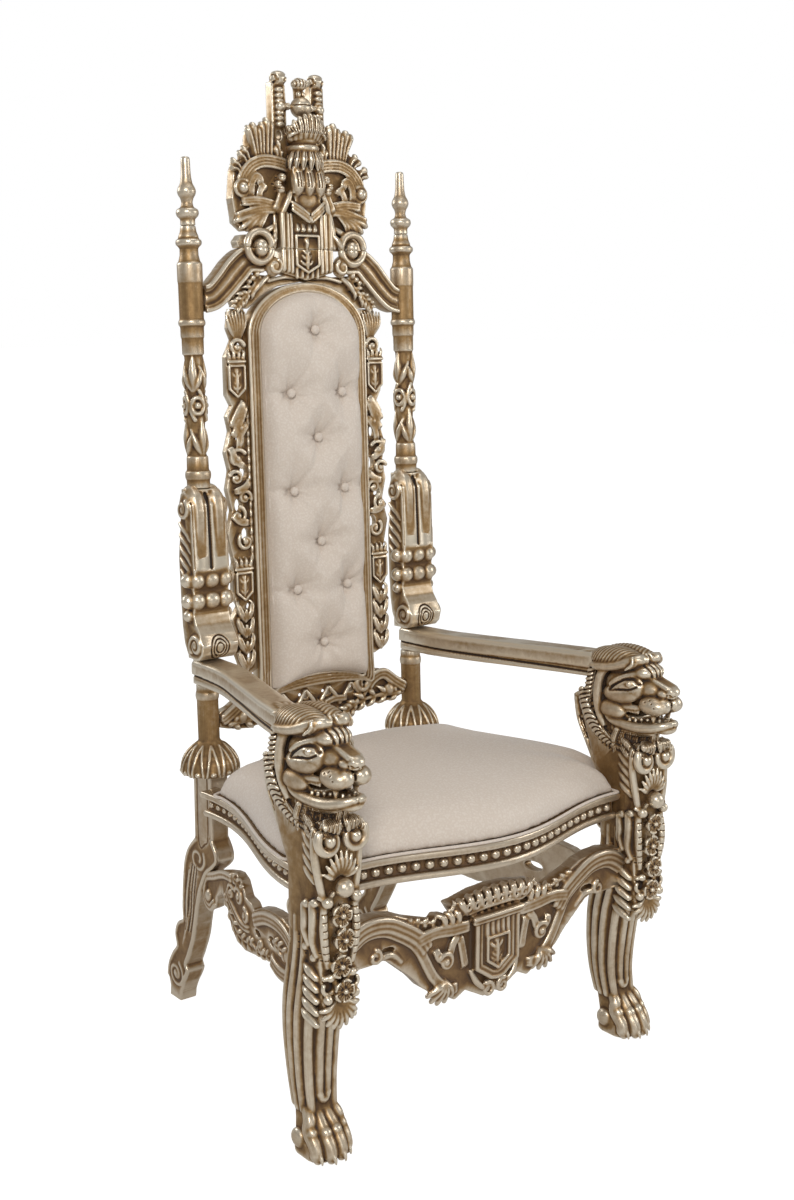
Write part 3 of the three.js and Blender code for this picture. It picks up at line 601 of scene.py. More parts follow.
def finishPiece(name, mesh, replaced, paint, leaning=False):
    mesh.transform(toRow(leaning))
    mesh.shade_smooth()
    mesh.materials.clear()
    mesh.materials.append(paint)
    piece = addObject(name, mesh)
    if replaced:
        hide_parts(*replaced)
    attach(piece, "root")
    print(name, len(mesh.polygons))
    return piece


# A piece drawn on the right, and its mirror image on the left.
def finishPair(name, mesh, solid, paint, leaning=False):
    other = mesh.copy()
    other.transform(Matrix.Scale(-1, 4, (1, 0, 0)))
    other.flip_normals()
    finishPiece(f"{name}_right", mesh, [f"{solid}_right"], paint, leaning)
    finishPiece(f"{name}_left", other, [f"{solid}_left"], paint, leaning)


print("tools ready")


# Turned posts

post = {
    "finial": [(1537.3, 14), (1546, 13.4), (1549, 14), (1554, 19.5), (1560, 21.4), (1566, 19.5), (1570, 12),
               (1578, 10.2), (1586, 12), (1592, 16), (1598, 17.5), (1604, 16), (1612, 11.5), (1624, 9.4),
               (1642, 8.6), (1657, 8.4), (1660, 6)],
    "shaft": [(1058.3, 21.7), (1074, 21.7), (1076, 23.6), (1083, 24.4), (1089, 23.6), (1091, 20.6),
              (1116, 20.2), (1119, 17), (1150, 15.5), (1186, 17), (1237, 16), (1270, 15.5), (1303, 17),
              (1305, 20.3), (1335, 20.3), (1336, 21.8), (1356, 21.8), (1358, 24.6), (1362, 25.2),
              (1366, 24.6), (1368, 22.5), (1434, 22.5), (1436, 23.4), (1469, 23.5), (1473, 20),
              (1484, 17.4), (1496, 17), (1500, 20), (1503, 23.6), (1507, 24.3), (1511, 23.6), (1514, 18.6),
              (1518, 18.7), (1526, 15.2), (1536.7, 14)],
    "leaves": ((1119, 1188), (1238, 1303)),
    "knot": 1211,
}


def roundTheShaft(cx, radius, angle, z, thick):
    return (cx + radius * math.cos(angle), radius * math.sin(angle), z, thick)


def makeFinial():
    work = newCarving()
    addLathe(work, post["finial"], (postSpread, 0))
    return fuse(work, 1.3, 7000, 2)


def makeShaft():
    work = newCarving()
    addLathe(work, post["shaft"], (postSpread, 0))
    for low, high in post["leaves"]:
        tall = high - low
        for i in range(3):
            turn = i * 2 * math.pi / 3 + (0.4 if low < 1200 else 1.2)
            for sway, reach in ((0.0, 1.0), (0.75, 0.7), (-0.6, 0.62)):
                leaf = []
                for t in (0, 0.25, 0.5, 0.75, 0.98):
                    thick = (2.5 + 5.8 * math.sin(math.pi * min(t * 1.1, 1))) * (0.85 if sway else 1)
                    angle = turn + sway * 0.25 + 1.5 * sway * t
                    leaf.append(roundTheShaft(postSpread, 16.5, angle, low + tall * reach * t, thick))
                addStroke(work, leaf, step=4)
    for i in range(4):
        angle = i * math.pi / 2 + 0.3
        z = post["knot"]
        loop = [roundTheShaft(postSpread, 19, angle + 0.62 * math.cos(a), z + 15 * math.sin(a), 4.4)
                for a in (0, 1.05, 2.1, 3.14, 4.2, 5.24, 6.28)]
        addStroke(work, loop, step=3)
        addBall(work, roundTheShaft(postSpread, 19, angle, z, 0)[:3], (6.5, 6.5, 6.5))
        sash = [roundTheShaft(postSpread, 19, angle + 0.8 + s, z + 28 * t, 3.8)
                for s, t in ((-0.5, -0.95), (-0.2, -0.5), (0, 0), (0.25, 0.5), (0.55, 0.95))]
        addStroke(work, sash, step=3)
    return fuse(work, 1.5, 24000)


lowerPost = {
    "bell": [(512.3, 45), (514, 51), (519, 54.5), (526, 55), (538, 52.5), (550, 46.5), (561, 37.5), (570, 27),
             (576, 22), (578, 20.6)],
    "shaft": [(560, 20.5), (656, 20.5), (658, 21.8), (664, 22.6), (670, 21.8), (672, 20.5), (685.4, 20.5)],
    "petals": 11,
}


def makeLowerPost():
    work = newCarving()
    addLathe(work, lowerPost["bell"], (postSpread, 0))
    addLathe(work, lowerPost["shaft"], (postSpread, 0))
    for i in range(lowerPost["petals"]):
        angle = i * 2 * math.pi / lowerPost["petals"]
        rim = [(z, r) for z, r in lowerPost["bell"] if 514 <= z <= 572]
        for side in (-1, 1):
            spread = 0.22 * side
            edge = [roundTheShaft(postSpread, r + 0.6, angle + spread * math.sqrt(max(0, (570 - z) / 56)),
                                  z, 2.3)
                    for z, r in rim]
            addStroke(work, edge, step=4)
        addBall(work, roundTheShaft(postSpread, 53, angle, 520, 0)[:3], (6, 6, 5))
    return fuse(work, 1.6, 16000)


# The scroll blocks that carry the upper posts

console = {
    "half": 42,
    "lobes": [(1050, 16, -6), (1038, 20, -14), (1018, 21, -18), (980, 20, -18), (940, 19, -18),
              (916, 17, -17)],
    "rolls": (889, 850),
    "outline": [(-34, 1030), (-36, 960), (-37, 915), (-36, 890), (-30, 870), (-35, 850), (-28, 826),
                (-34, 806), (-46, 790), (-57, 768), (-52, 750), (-40, 740), (-20, 738), (0, 748), (10, 768),
                (15, 800), (17, 850), (18, 900), (18, 934), (12, 965), (6, 1000), (10, 1030), (2, 1050),
                (-10, 1056)],
}


def makeConsole():
    work = newCarving()
    x0 = postSpread
    half = console["half"]
    addSlab(work, console["outline"], x0 - half + 3, x0 + half - 3, "side")
    addBox(work, (x0 - 26, -22, 736), (x0 + 26, 21, 1057))
    for side in (-1, 1):
        addStroke(work, [(x0 + side * 21, y, z, r) for z, r, y in console["lobes"]], step=4)
    for z in console["rolls"]:
        for x, r in ((-29, 15), (0, 19), (29, 15)):
            addBall(work, (x0 + x, -26, z), (r + 1, 16, 17))
        addStroke(work, [(x0 - half, -18, z, 15), (x0 + half, -18, z, 15)])
    addStroke(work, [(x0 - half + 2, -14, 822, 12), (x0 + half - 2, -14, 822, 12)])
    for side in (-1, 1):
        for cy, cz, outer in ((-8, 1021, 23), (-34, 767, 25)):
            face = x0 + side * (half - 1)
            addSideScroll(work, face, cy, cz, outer - 4, 4, 2.2 if cz > 900 else -0.6, 1.6, 4.6, 3.4)
            addBall(work, (face, cy, cz), (5, 6.5, 6.5))
        # leaf below the top volute, on the side face
        for n in range(5):
            z = 985 - n * 22
            leaf = [(10, z + 10, 3), (-2, z + 2, 5.5), (-16, z - 8, 5), (-26, z - 22, 2.5)]
            addStroke(work, [(x0 + side * (half - 3), y, zz, r) for y, zz, r in leaf])
    addGroove(work, "front", [(x0, 1048), (x0, 912)], 4.5, 6)
    for side in (-1, 1):
        addGroove(work, "front", [(x0 + side * 37, 1034), (x0 + side * 37, 912)], 2.5, 2)
    for n in range(3):
        reach = 24 - 7 * n
        bow = [(x0 + reach * math.cos(a) * 0.8, 762 + reach * math.sin(a)) for a in
               [math.pi * (1.42 - 1.84 * k / 10) for k in range(11)]]
        addGroove(work, "front", bow, 2.2, 2.2)
    return fuse(work, 1.8, 26000)


finishPair("finial_turned", makeFinial(), "finial", silverGold, True)
finishPair("upper_post_turned", makeShaft(), "upper_post", gold, True)
finishPair("lower_post_turned", makeLowerPost(), "lower_post", gold, True)
finishPair("scroll_console", makeConsole(), "console", gold, True)


# Soft goods: the seat and the tufted back

def frontEdge(x):
    return -16 - 64 * (0.5 + 0.5 * math.cos(math.pi * x / 300))


def sideEdge(y):
    return 290 + 93 * (0.5 + 0.5 * math.cos(math.pi * (y - 50) / 390))


def archOutline(half, spring, rise, corner, middle, steps=30):
    top = arcRun(0, spring, half, rise, 0, math.pi, steps)
    sides = [(-half, spring + (corner - spring) * k / 12) for k in range(1, 12)]
    low = [(u * half, middle - (middle - corner) * u * u) for u in [k / 6 - 1 for k in range(13)]]
    return top + sides + low + [(-x, z) for x, z in reversed(sides)]


# A closed cushion from rings of one outline; each ring is (share of the outline, height).
def ringed(outline, centre, rings, place):
    cu, cv = centre
    bm = bmesh.new()
    addSkin(bm, [[place(cu + (u - cu) * share, cv + (v - cv) * share, height) for u, v in outline]
                 for share, height in rings])
    bmesh.ops.recalc_face_normals(bm, faces=bm.faces)
    return meshOf(bm, "ringed")


# Lets the cloth swell under pressure for a moment, but no point moves further than the cap.
def swollen(mesh, pressure, cap, pins=None, frames=20):
    start, _, _ = meshArrays(mesh)
    holder = addObject("swelling", mesh.copy())
    cloth = holder.modifiers.new("cloth", "CLOTH").settings
    cloth.use_pressure = True
    cloth.uniform_pressure_force = pressure
    cloth.effector_weights.gravity = 0
    cloth.quality = 6
    cloth.tension_stiffness = 40
    cloth.compression_stiffness = 30
    cloth.bending_stiffness = 2.0
    if pins:
        group = holder.vertex_groups.new(name="pins")
        group.add(pins, 1.0, "REPLACE")
        cloth.vertex_group_mass = "pins"
    for number in range(1, frames + 1):
        bpy.context.scene.frame_set(number)
    end, _, _ = meshArrays(takenFrom(holder))
    bpy.context.scene.frame_set(1)
    shift = end - start
    length = np.maximum(np.linalg.norm(shift, axis=1), 1e-9)
    setCoords(mesh, start + shift * (np.minimum(length, cap) / length)[:, None])
    return mesh


seat = {
    "low": 491.4,
    "rise": 76,
    "rings": [(1, 0), (1.0, 0.10), (0.992, 0.24), (0.972, 0.40), (0.935, 0.55), (0.86, 0.71), (0.74, 0.84),
              (0.56, 0.935), (0.36, 0.98), (0.16, 1.0)],
    "middle": (0, 230),
    "voxel": 6.5,
}


def seatPlan():
    front = [(x, frontEdge(x) + 5) for x in range(0, 316, 21)]
    corner = [(316, -2), (317, 20), (318, 40), (324, 55), (340, 62), (362, 65)]
    side = [(sideEdge(y) - 5, y) for y in range(74, 440, 26)]
    rear = [(240, 450), (214, 462), (188, 470), (168, 478), (120, 481), (60, 482), (0, 482)]
    half = front + corner + side + rear
    return half + [(-x, y) for x, y in reversed(half[1:-1])]


def makeSeat():
    base = ringed(seatPlan(), seat["middle"], seat["rings"],
                  lambda u, v, h: (u, v, seat["low"] + h * seat["rise"]))
    skin = remeshed(base, seat["voxel"])
    coords, _, edges = meshArrays(skin)
    level = coords[:, 2:].copy()
    eased = relaxed(coords, edges, 5)
    free = np.clip((level - seat["low"] - 6) / 12, 0, 1)
    coords = coords * (1 - free) + eased * free
    setCoords(skin, coords)
    skin.transform(toRow(False))
    skin = swollen(skin, 4.0, 0.006)
    skin.transform(toRow(False).inverted())
    coords, _, _ = meshArrays(skin)
    coords[:, 2] = np.maximum(coords[:, 2], seat["low"])
    setCoords(skin, coords)
    piece = finishPiece("seat_upholstery", skin, ["seat_cushion"], satin)


def makeSeatPiping():
    half = [p for p in seatPlan() if p[0] >= 0 and p[1] < 460]
    whole = [(-x, y) for x, y in reversed(half[1:])] + half
    edge = [(x * 1.006, y - (2.5 if y < 40 else 0), 494.0, 2.7) for x, y in whole]
    piping = strokeMesh((1, 1, 1), [roundedEnds(smoothRun(edge, 6))])
    finishPiece("seat_piping", piping, [], satin)


backPad = {
    "half": 111.4,
    "rings": [(1, 6), (1, -12), (0.993, -24), (0.975, -34), (0.94, -43), (0.87, -52), (0.74, -59),
              (0.55, -63.5), (0.3, -66), (0.12, -66.5)],
    "middle": (0, 1030),
    "buttons": [(0, 1347), (-60, 1228), (60, 1228), (0, 1142), (-60, 1041), (60, 1041), (0, 940), (-60, 850),
                (60, 850), (0, 740)],
    "dip": 33,
    "spread": 33,
    "voxel": 5.0,
    "keep": 0.4,
}


def makePad():
    outline = archOutline(backPad["half"], 1336, 83.6, 655.3, 675.3)
    base = ringed(outline, backPad["middle"], backPad["rings"], lambda u, v, h: (u, h, v))
    # the rings shrink less along the height than across it, so the crown follows the long shape
    coords, _, _ = meshArrays(base)
    middle = backPad["middle"][1]
    for index, (x, y, z) in enumerate(coords):
        ring = backPad["rings"][index // len(outline)][0]
        coords[index, 2] = middle + (z - middle) / ring * (1 - (1 - ring) * 0.30)
    setCoords(base, coords)
    skin = remeshed(base, backPad["voxel"])
    coords, normals, edges = meshArrays(skin)
    proud = np.clip((-coords[:, 1] - 24) / 20, 0, 1)[:, None]
    coords = coords * (1 - proud) + relaxed(coords, edges, 4) * proud
    front = coords[:, 1] < -30
    dip = np.zeros(len(coords))
    for bx, bz in backPad["buttons"]:
        away = np.hypot(coords[:, 0] - bx, (coords[:, 2] - bz) * 0.9)
        angle = np.arctan2(coords[:, 2] - bz, coords[:, 0] - bx)
        spread = backPad["spread"] * (1 + 0.13 * np.cos(4 * angle) + 0.06 * np.cos(9 * angle + bz))
        dip = np.maximum(dip, backPad["dip"] * np.exp(-(away / spread) ** 1.25))
    dip += foldDepth(coords, 3.6, 8, 0.45)
    coords[:, 1] += np.where(front, np.minimum(dip, 30), 0)
    setCoords(skin, coords)
    pins = [n for n, (x, y, z) in enumerate(coords)
            if y > -22 or any(math.hypot(x - bx, z - bz) < 8 for bx, bz in backPad["buttons"])]
    skin.transform(toRow(True))
    skin = applied(swollen(skin, 3.0, 0.004, pins), "SUBSURF", levels=1, render_levels=1)
    skin.transform(toRow(True).inverted())
    pressFolds(skin)
    skin = applied(skin, "DECIMATE", ratio=backPad["keep"])
    piece = finishPiece("back_upholstery", skin, ["back_pad"], satin, True)
    work = newCarving()
    for bx, bz in backPad["buttons"]:
        addBall(work, (bx, -41, bz), (8.8, 6, 8.8))
    finishPiece("back_buttons", meshOf(work["solids"], "buttons"), [], satin, True)


# Creases sewn in after the swelling: short rays round each button and thin folds between them.
def pressFolds(skin):
    coords, _, _ = meshArrays(skin)
    x, z = coords[:, 0], coords[:, 2]
    inward = np.zeros(len(coords))
    for bx, bz in backPad["buttons"]:
        away = np.hypot(x - bx, z - bz)
        angle = np.arctan2(z - bz, x - bx)
        rays = np.maximum(np.cos(5.5 * angle + 0.03 * bz + bx), 0) ** 2
        inward += 4.2 * rays * np.exp(-((away - 15) / 13) ** 2)
    inward += foldDepth(coords, 2.8, 3.2, 0.25)
    coords[:, 1] += np.where(coords[:, 1] < -30, np.minimum(inward, 6), 0)
    setCoords(skin, coords)


# How far the folds press into each point. A fold is weakest half way between its buttons.
def foldDepth(coords, depth, width, weakest):
    x, z = coords[:, 0], coords[:, 2]
    total = np.zeros(len(coords))
    for (ax, az), (bx, bz) in padFolds():
        length = (bx - ax) ** 2 + (bz - az) ** 2
        run = np.clip(((x - ax) * (bx - ax) + (z - az) * (bz - az)) / length, 0, 1)
        bow = 5 * np.sin(np.pi * run)
        off = np.hypot(x - ax - run * (bx - ax) - bow, z - az - run * (bz - az))
        total += depth * np.exp(-(off / width) ** 2) * (weakest + (1 - weakest) * np.abs(np.cos(np.pi * run)))
    return total


# Folds run from button to button in a diamond pattern, and out to the frame.
def padFolds():
    marks = backPad["buttons"]
    folds = []
    for i, a in enumerate(marks):
        for b in marks[i + 1:]:
            if a[0] != b[0] and abs(a[1] - b[1]) < 125 and abs(a[1] - b[1]) > 10:
                folds.append((a, b))
        if a[0]:
            folds.append((a, (math.copysign(112, a[0]), a[1])))
    folds.append(((0, 1347), (0, 1420)))
    return folds


makeSeat()
makeSeatPiping()
makePad()
print("upholstery ready")


# Back frame: a reeded arched moulding round the tufted pad

backFrame = {
    "outer": (137, 100, 640, 651),
    "inner": (112, 84, 655, 675),
    "front": -16,
    "rear": 12,
    "reeds": ((0.10, 3.6, -17), (0.38, 2.9, -18), (0.64, 2.7, -18), (0.92, 2.8, -18)),
}


def frameLoop(share):
    half, rise, corner, middle = [a + (b - a) * share for a, b in zip(backFrame["outer"], backFrame["inner"])]
    return archOutline(half, 1336, rise, corner, middle)


def addRing(work, outer, inner, low, high):
    bm = work["solids"]
    loops = []
    for outline in (outer, inner):
        verts = [bm.verts.new((u, low, v)) for u, v in outline]
        loops += [bm.edges.new(pair) for pair in zip(verts, verts[1:] + verts[:1])]
    faces = bmesh.ops.bridge_loops(bm, edges=loops)["faces"]
    grown = bmesh.ops.extrude_face_region(bm, geom=faces)["geom"]
    moved = [g for g in grown if isinstance(g, bmesh.types.BMVert)]
    bmesh.ops.translate(bm, verts=moved, vec=(0, high - low, 0))


def makeBackFrame():
    work = newCarving()
    addRing(work, frameLoop(0), frameLoop(1), backFrame["front"], backFrame["rear"])
    for share, radius, depth in backFrame["reeds"]:
        loop = [(x, depth, z, radius) for x, z in frameLoop(share)]
        addStroke(work, loop + loop[:2], step=8)
    return fuse(work, 1.6, 28000)


finishPiece("back_frame_moulding", makeBackFrame(), ["back_frame"], gold, True)


# Seat rails: a lip, a cove with a row of beads, and a lower lip

rail = {
    # bottom, top and inset of the lower lip, the cove and the upper lip
    "tiers": ((440, 452, 10), (450, 480, 19), (478, 491, 1.5)),
    # level, radius and inset of the round mouldings
    "rounds": ((485.5, 5.3, 6.0), (480, 2.2, 8), (449.5, 2.3, 14), (445.5, 5.2, 13.5)),
    "beadLevel": 465, "beadInset": 14.6, "frontBead": 8.4, "sideBead": (4.6, 6.0, 6.2),
    "frontHalf": 320.4, "sideStart": 47, "sideLength": 437, "steps": 28,
}


def makeRail(edge, inner, bead, count):
    work = newCarving()
    along = [k / rail["steps"] for k in range(rail["steps"] + 1)]
    for bottom, top, inset in rail["tiers"]:
        addSlab(work, [edge(t, inset) for t in along] + [inner(t) for t in reversed(along)], bottom, top,
                "top")
    for level, radius, inset in rail["rounds"]:
        addStroke(work, [(*edge(t, inset), level, radius) for t in along], step=6)
    for k in range(count):
        x, y = edge((k + 0.5) / count * 0.97 + 0.015, rail["beadInset"])
        addBall(work, (x, y, rail["beadLevel"]), bead)
    return fuse(work, 1.7, count * 1050)


def frontRailEdge(t, inset):
    x = (2 * t - 1) * rail["frontHalf"]
    return x, frontEdge(x) + inset


def sideRailEdge(t, inset):
    y = rail["sideStart"] + t * rail["sideLength"]
    return sideEdge(y) - inset, y


frontRail = makeRail(frontRailEdge, lambda t: (frontRailEdge(t, 0)[0], 24), rail["frontBead"], 26)
finishPiece("seat_rail_front_carved", frontRail, ["seat_rail_front"], rosyGold)
sideRail = makeRail(sideRailEdge, lambda t: sideRailEdge(t, 42), rail["sideBead"], 19)
finishPair("seat_rail_carved", sideRail, "seat_rail", rosyGold)


# Arms

arm = {
    "run": [(250, 531), (253, 480), (262, 410), (290, 315), (318, 225), (338, 160), (361, 74)],
    "half": 27,
    "lift": 8,
}


# Every point of a carving goes through one change.
def bend(work, change):
    for vert in work["solids"].verts:
        change(vert.co)
    for runs in work["strokes"].values():
        for run in runs:
            for p in run:
                change(p)


# The arm rises a little towards the lion.
def liftArm(p):
    p.z += arm["lift"] * min(max((531 - p.y) / 457, 0), 1)


def makeArm():
    work = newCarving()
    centre = smoothRun([(x, y, 0, arm["half"]) for x, y in arm["run"]], 12)
    for low, high, inset in ((706, 729, 0), (687, 712, 4), (722, 734.6, 4)):
        left = [(p.x - p.w + inset, p.y) for p in centre]
        right = [(p.x + p.w - inset, p.y) for p in reversed(centre)]
        addSlab(work, left + right, low, high, "top")
    for side in (-1, 1):
        addStroke(work, [(p.x + side * (p.w - 5.5), p.y, 728, 6) for p in centre[1:-1]], step=14)
        addStroke(work, [(p.x + side * (p.w - 8), p.y, 692.5, 6) for p in centre[1:-1]], step=14)
        addGroove(work, "side", [(p.y, 704) for p in centre], 3.0, 2.2, side)
    # a small acanthus leaf lies on the top, next to the mane
    for reach, sway in ((62, 0), (50, 10), (50, -10), (34, 16), (34, -16)):
        addStroke(work, [(357, 82, 734, 3.5), (353 + sway * 0.6, 82 + reach * 0.5, 735, 4.2),
                         (345 + sway, 82 + reach, 734, 1.6)], (1, 1, 0.6))
    bend(work, liftArm)
    return fuse(work, 2.2, 12000)


finishPair("arm_carved", makeArm(), "arm", silverGold)


# Rear legs

rearLeg = {
    "front": [(485, 511.7), (485, 384), (472, 366), (470, 348), (486, 332), (512, 312), (536, 274),
              (552, 234), (565, 191), (578, 153), (598, 115), (613, 88), (606, 78), (624, 50), (640, 20),
              (644, 0)],
    "rear": [(687, 0), (684, 20), (690, 46), (683, 72), (664, 100), (645, 122), (648, 148), (637, 172),
             (613, 188), (612, 215), (604, 269), (593, 316), (577, 347), (549, 374), (549, 511.7)],
    "inner": 227, "outer": 268, "drift": 15, "knee": 375,
}


# Below the knee the leg leans inwards.
def leanInwards(p):
    p.x -= rearLeg["drift"] * max(1 - p.z / rearLeg["knee"], 0)


def makeRearLeg():
    work = newCarving()
    outline = rearLeg["front"] + rearLeg["rear"]
    inner, outer = rearLeg["inner"], rearLeg["outer"]
    addSlab(work, outline, inner + 1.5, outer - 1.5, "side")
    for x in (inner + 2.5, outer - 2.5):
        rim = rearLeg["front"][1:-2]
        addStroke(work, [(x, y + 4, z, 4.2) for y, z in rim], step=8)
        back = rearLeg["rear"][2:-1]
        addStroke(work, [(x, y - 4, z, 4.2) for y, z in back], step=8)
        addSideScroll(work, x, 654, 58, 30, 7, 2.1, 1.5, 4.4, 4.0)
        addBall(work, (x, 654, 58), (6, 9, 9))
        addSideScroll(work, x, 541, 336, 27, 8, 2.6, 1.2, 4.2, 3.4)
        addStroke(work, [(x, 575, 300, 4), (x, 590, 240, 5), (x, 600, 180, 4), (x, 622, 130, 2)])
    for side in (-1, 1):
        for spread in (-9, 0, 9):
            addGroove(work, "side", [(556 + spread, 318), (572 + spread, 262), (582 + spread, 210),
                                     (596 + spread, 168)],
                      2.4, 1.8, side)
        addGroove(work, "side", [(500, 505), (500, 395), (512, 372), (534, 372), (536, 505)], 2.2, 1.2, side)
    bend(work, leanInwards)
    return limited(fuse(work, 2.2, 20000), 2, low=0)


finishPair("rear_leg_carved", makeRearLeg(), "rear_leg", rosyGold)


# Front legs: paw, fluted leg, cartouche, fin and lion head, carved in one. The leg's own upright line is
# x = 0 with +x outwards; the finished leg is moved out to the arm.

frontLeg = {
    # height, outward offset, depth, half-width, half-depth
    "stations": [(20, 0, 4, 36, 42), (40, 0, 10, 34, 38), (66, -2, 20, 31, 33), (100, -4, 29, 31, 33),
                 (145, -5, 34, 34, 37), (200, -4, 33, 37, 41), (255, -3, 27, 39, 44), (310, -1, 14, 39, 46),
                 (370, 0, 4, 38, 43), (436, 0, 3, 39, 41), (500, 0, 3, 39, 41), (545, 0, 18, 36, 56),
                 (600, 0, 30, 33, 68), (640, 0, 40, 30, 78)],
    "ribs": 12,
    "ribFoot": 92,
    "ribTop": 420,
    "toes": ((-29, -30), (-10, -42), (10, -42), (29, -30)),
    "flowers": ((2, 436), (-3, 394), (4, 351), (-2, 308)),
    "triangles": 110000,
}


def legAt(z):
    table = frontLeg["stations"]
    for (z0, *a), (z1, *b) in zip(table, table[1:]):
        if z <= z1:
            t = max((z - z0) / (z1 - z0), 0)
            return [p + (q - p) * t for p, q in zip(a, b)]
    return list(table[-1][1:])


def squared(angle, power):
    return (abs(math.cos(angle)) ** power + abs(math.sin(angle)) ** power) ** (-1 / power)


def onLeg(angle, z, power=3.2, sink=0):
    x, y, a, b = legAt(z)
    reach = squared(angle, power)
    return x + (a * reach - sink) * math.cos(angle), y + (b * reach - sink) * math.sin(angle), z


def addLegCore(work):
    rings = []
    for n in range(63):
        z = 20 + 10 * n
        power = 3.2 if z < 330 else 5
        sink = 3.5 if z < 400 else 0
        rings.append([onLeg(2 * math.pi * k / 48, z, power, sink) for k in range(48)])
    addSkin(work["solids"], rings)


def addRibs(work):
    count = frontLeg["ribs"]
    for k in range(count):
        angle = 2 * math.pi * (k + 0.5) / count
        toFront = math.sin(angle) < -0.85
        foot = 106 if toFront else frontLeg["ribFoot"] - 14
        run = []
        for n in range(9):
            z = foot + (frontLeg["ribTop"] - foot) * n / 8
            thick = 8.2 if n else 7.0
            run.append((*onLeg(angle, z, 3.2, 4.2), thick if z < 330 else 7))
        addStroke(work, run, step=7)
    # the two front ribs meet in a rounded loop above the paw
    low = [onLeg(-math.pi / 2 + s * 0.26, 106 - d, 3.2, 3.0) for s,
           d in ((-1, 0), (-0.6, 8), (0, 11), (0.6, 8), (1, 0))]
    addStroke(work, [(*p, 7.4) for p in low], step=4)


def addPaw(work):
    addBall(work, (0, 8, 26), (37, 44, 30))
    addSlab(work, [(36 * math.cos(a) * squared(a, 3) * 0.98, 6 + 40 * math.sin(a) * squared(a, 3))
                   for a in [2 * math.pi * k / 32 for k in range(32)]], 0, 22, "top")
    for x, tip in frontLeg["toes"]:
        addStroke(work, [(x * 0.72, 14, 84, 8), (x * 0.9, -4, 68, 11.5), (x, tip + 22, 50, 12.8),
                         (x, tip + 6, 32, 12.6), (x, tip, 17, 12), (x, tip - 1, 9, 8)], step=4)
        addBall(work, (x, tip + 17, 48), (11.6, 13.5, 12.5))
        addBall(work, (x, tip + 2, 19), (12.2, 12.5, 15))
        addStroke(work, [(x, tip - 9, 19, 3.6), (x, tip - 13, 12, 3.2), (x, tip - 14, 5, 1.6)], step=2)
    for side in (-1, 1):
        addBall(work, (side * 34, 18, 30), (9, 17, 17))


def addFlower(work, x, z, y=-64):
    for k in range(5):
        a = math.pi / 2 + 2 * math.pi * k / 5 + z * 0.05
        turn = Matrix.Rotation(-a, 4, "Y")
        addBall(work, (x + 11.5 * math.cos(a), y + 1.5, z + 11.5 * math.sin(a)), (9.6, 5.2, 8.2), turn)
        addStroke(work, [(x + 18 * math.cos(a + s), y - 2.5, z + 18 * math.sin(a + s), 2.3)
                         for s in (-0.42, -0.2, 0, 0.2, 0.42)],
                  step=3)
        for s in (-0.25, 0, 0.25):
            addGroove(work, "front", [(x + 6 * math.cos(a + s), z + 6 * math.sin(a + s)),
                                      (x + 15 * math.cos(a + s), z + 15 * math.sin(a + s))], 1.6, 1.3)
    addBall(work, (x, y - 5, z), (4.6, 5, 4.6))


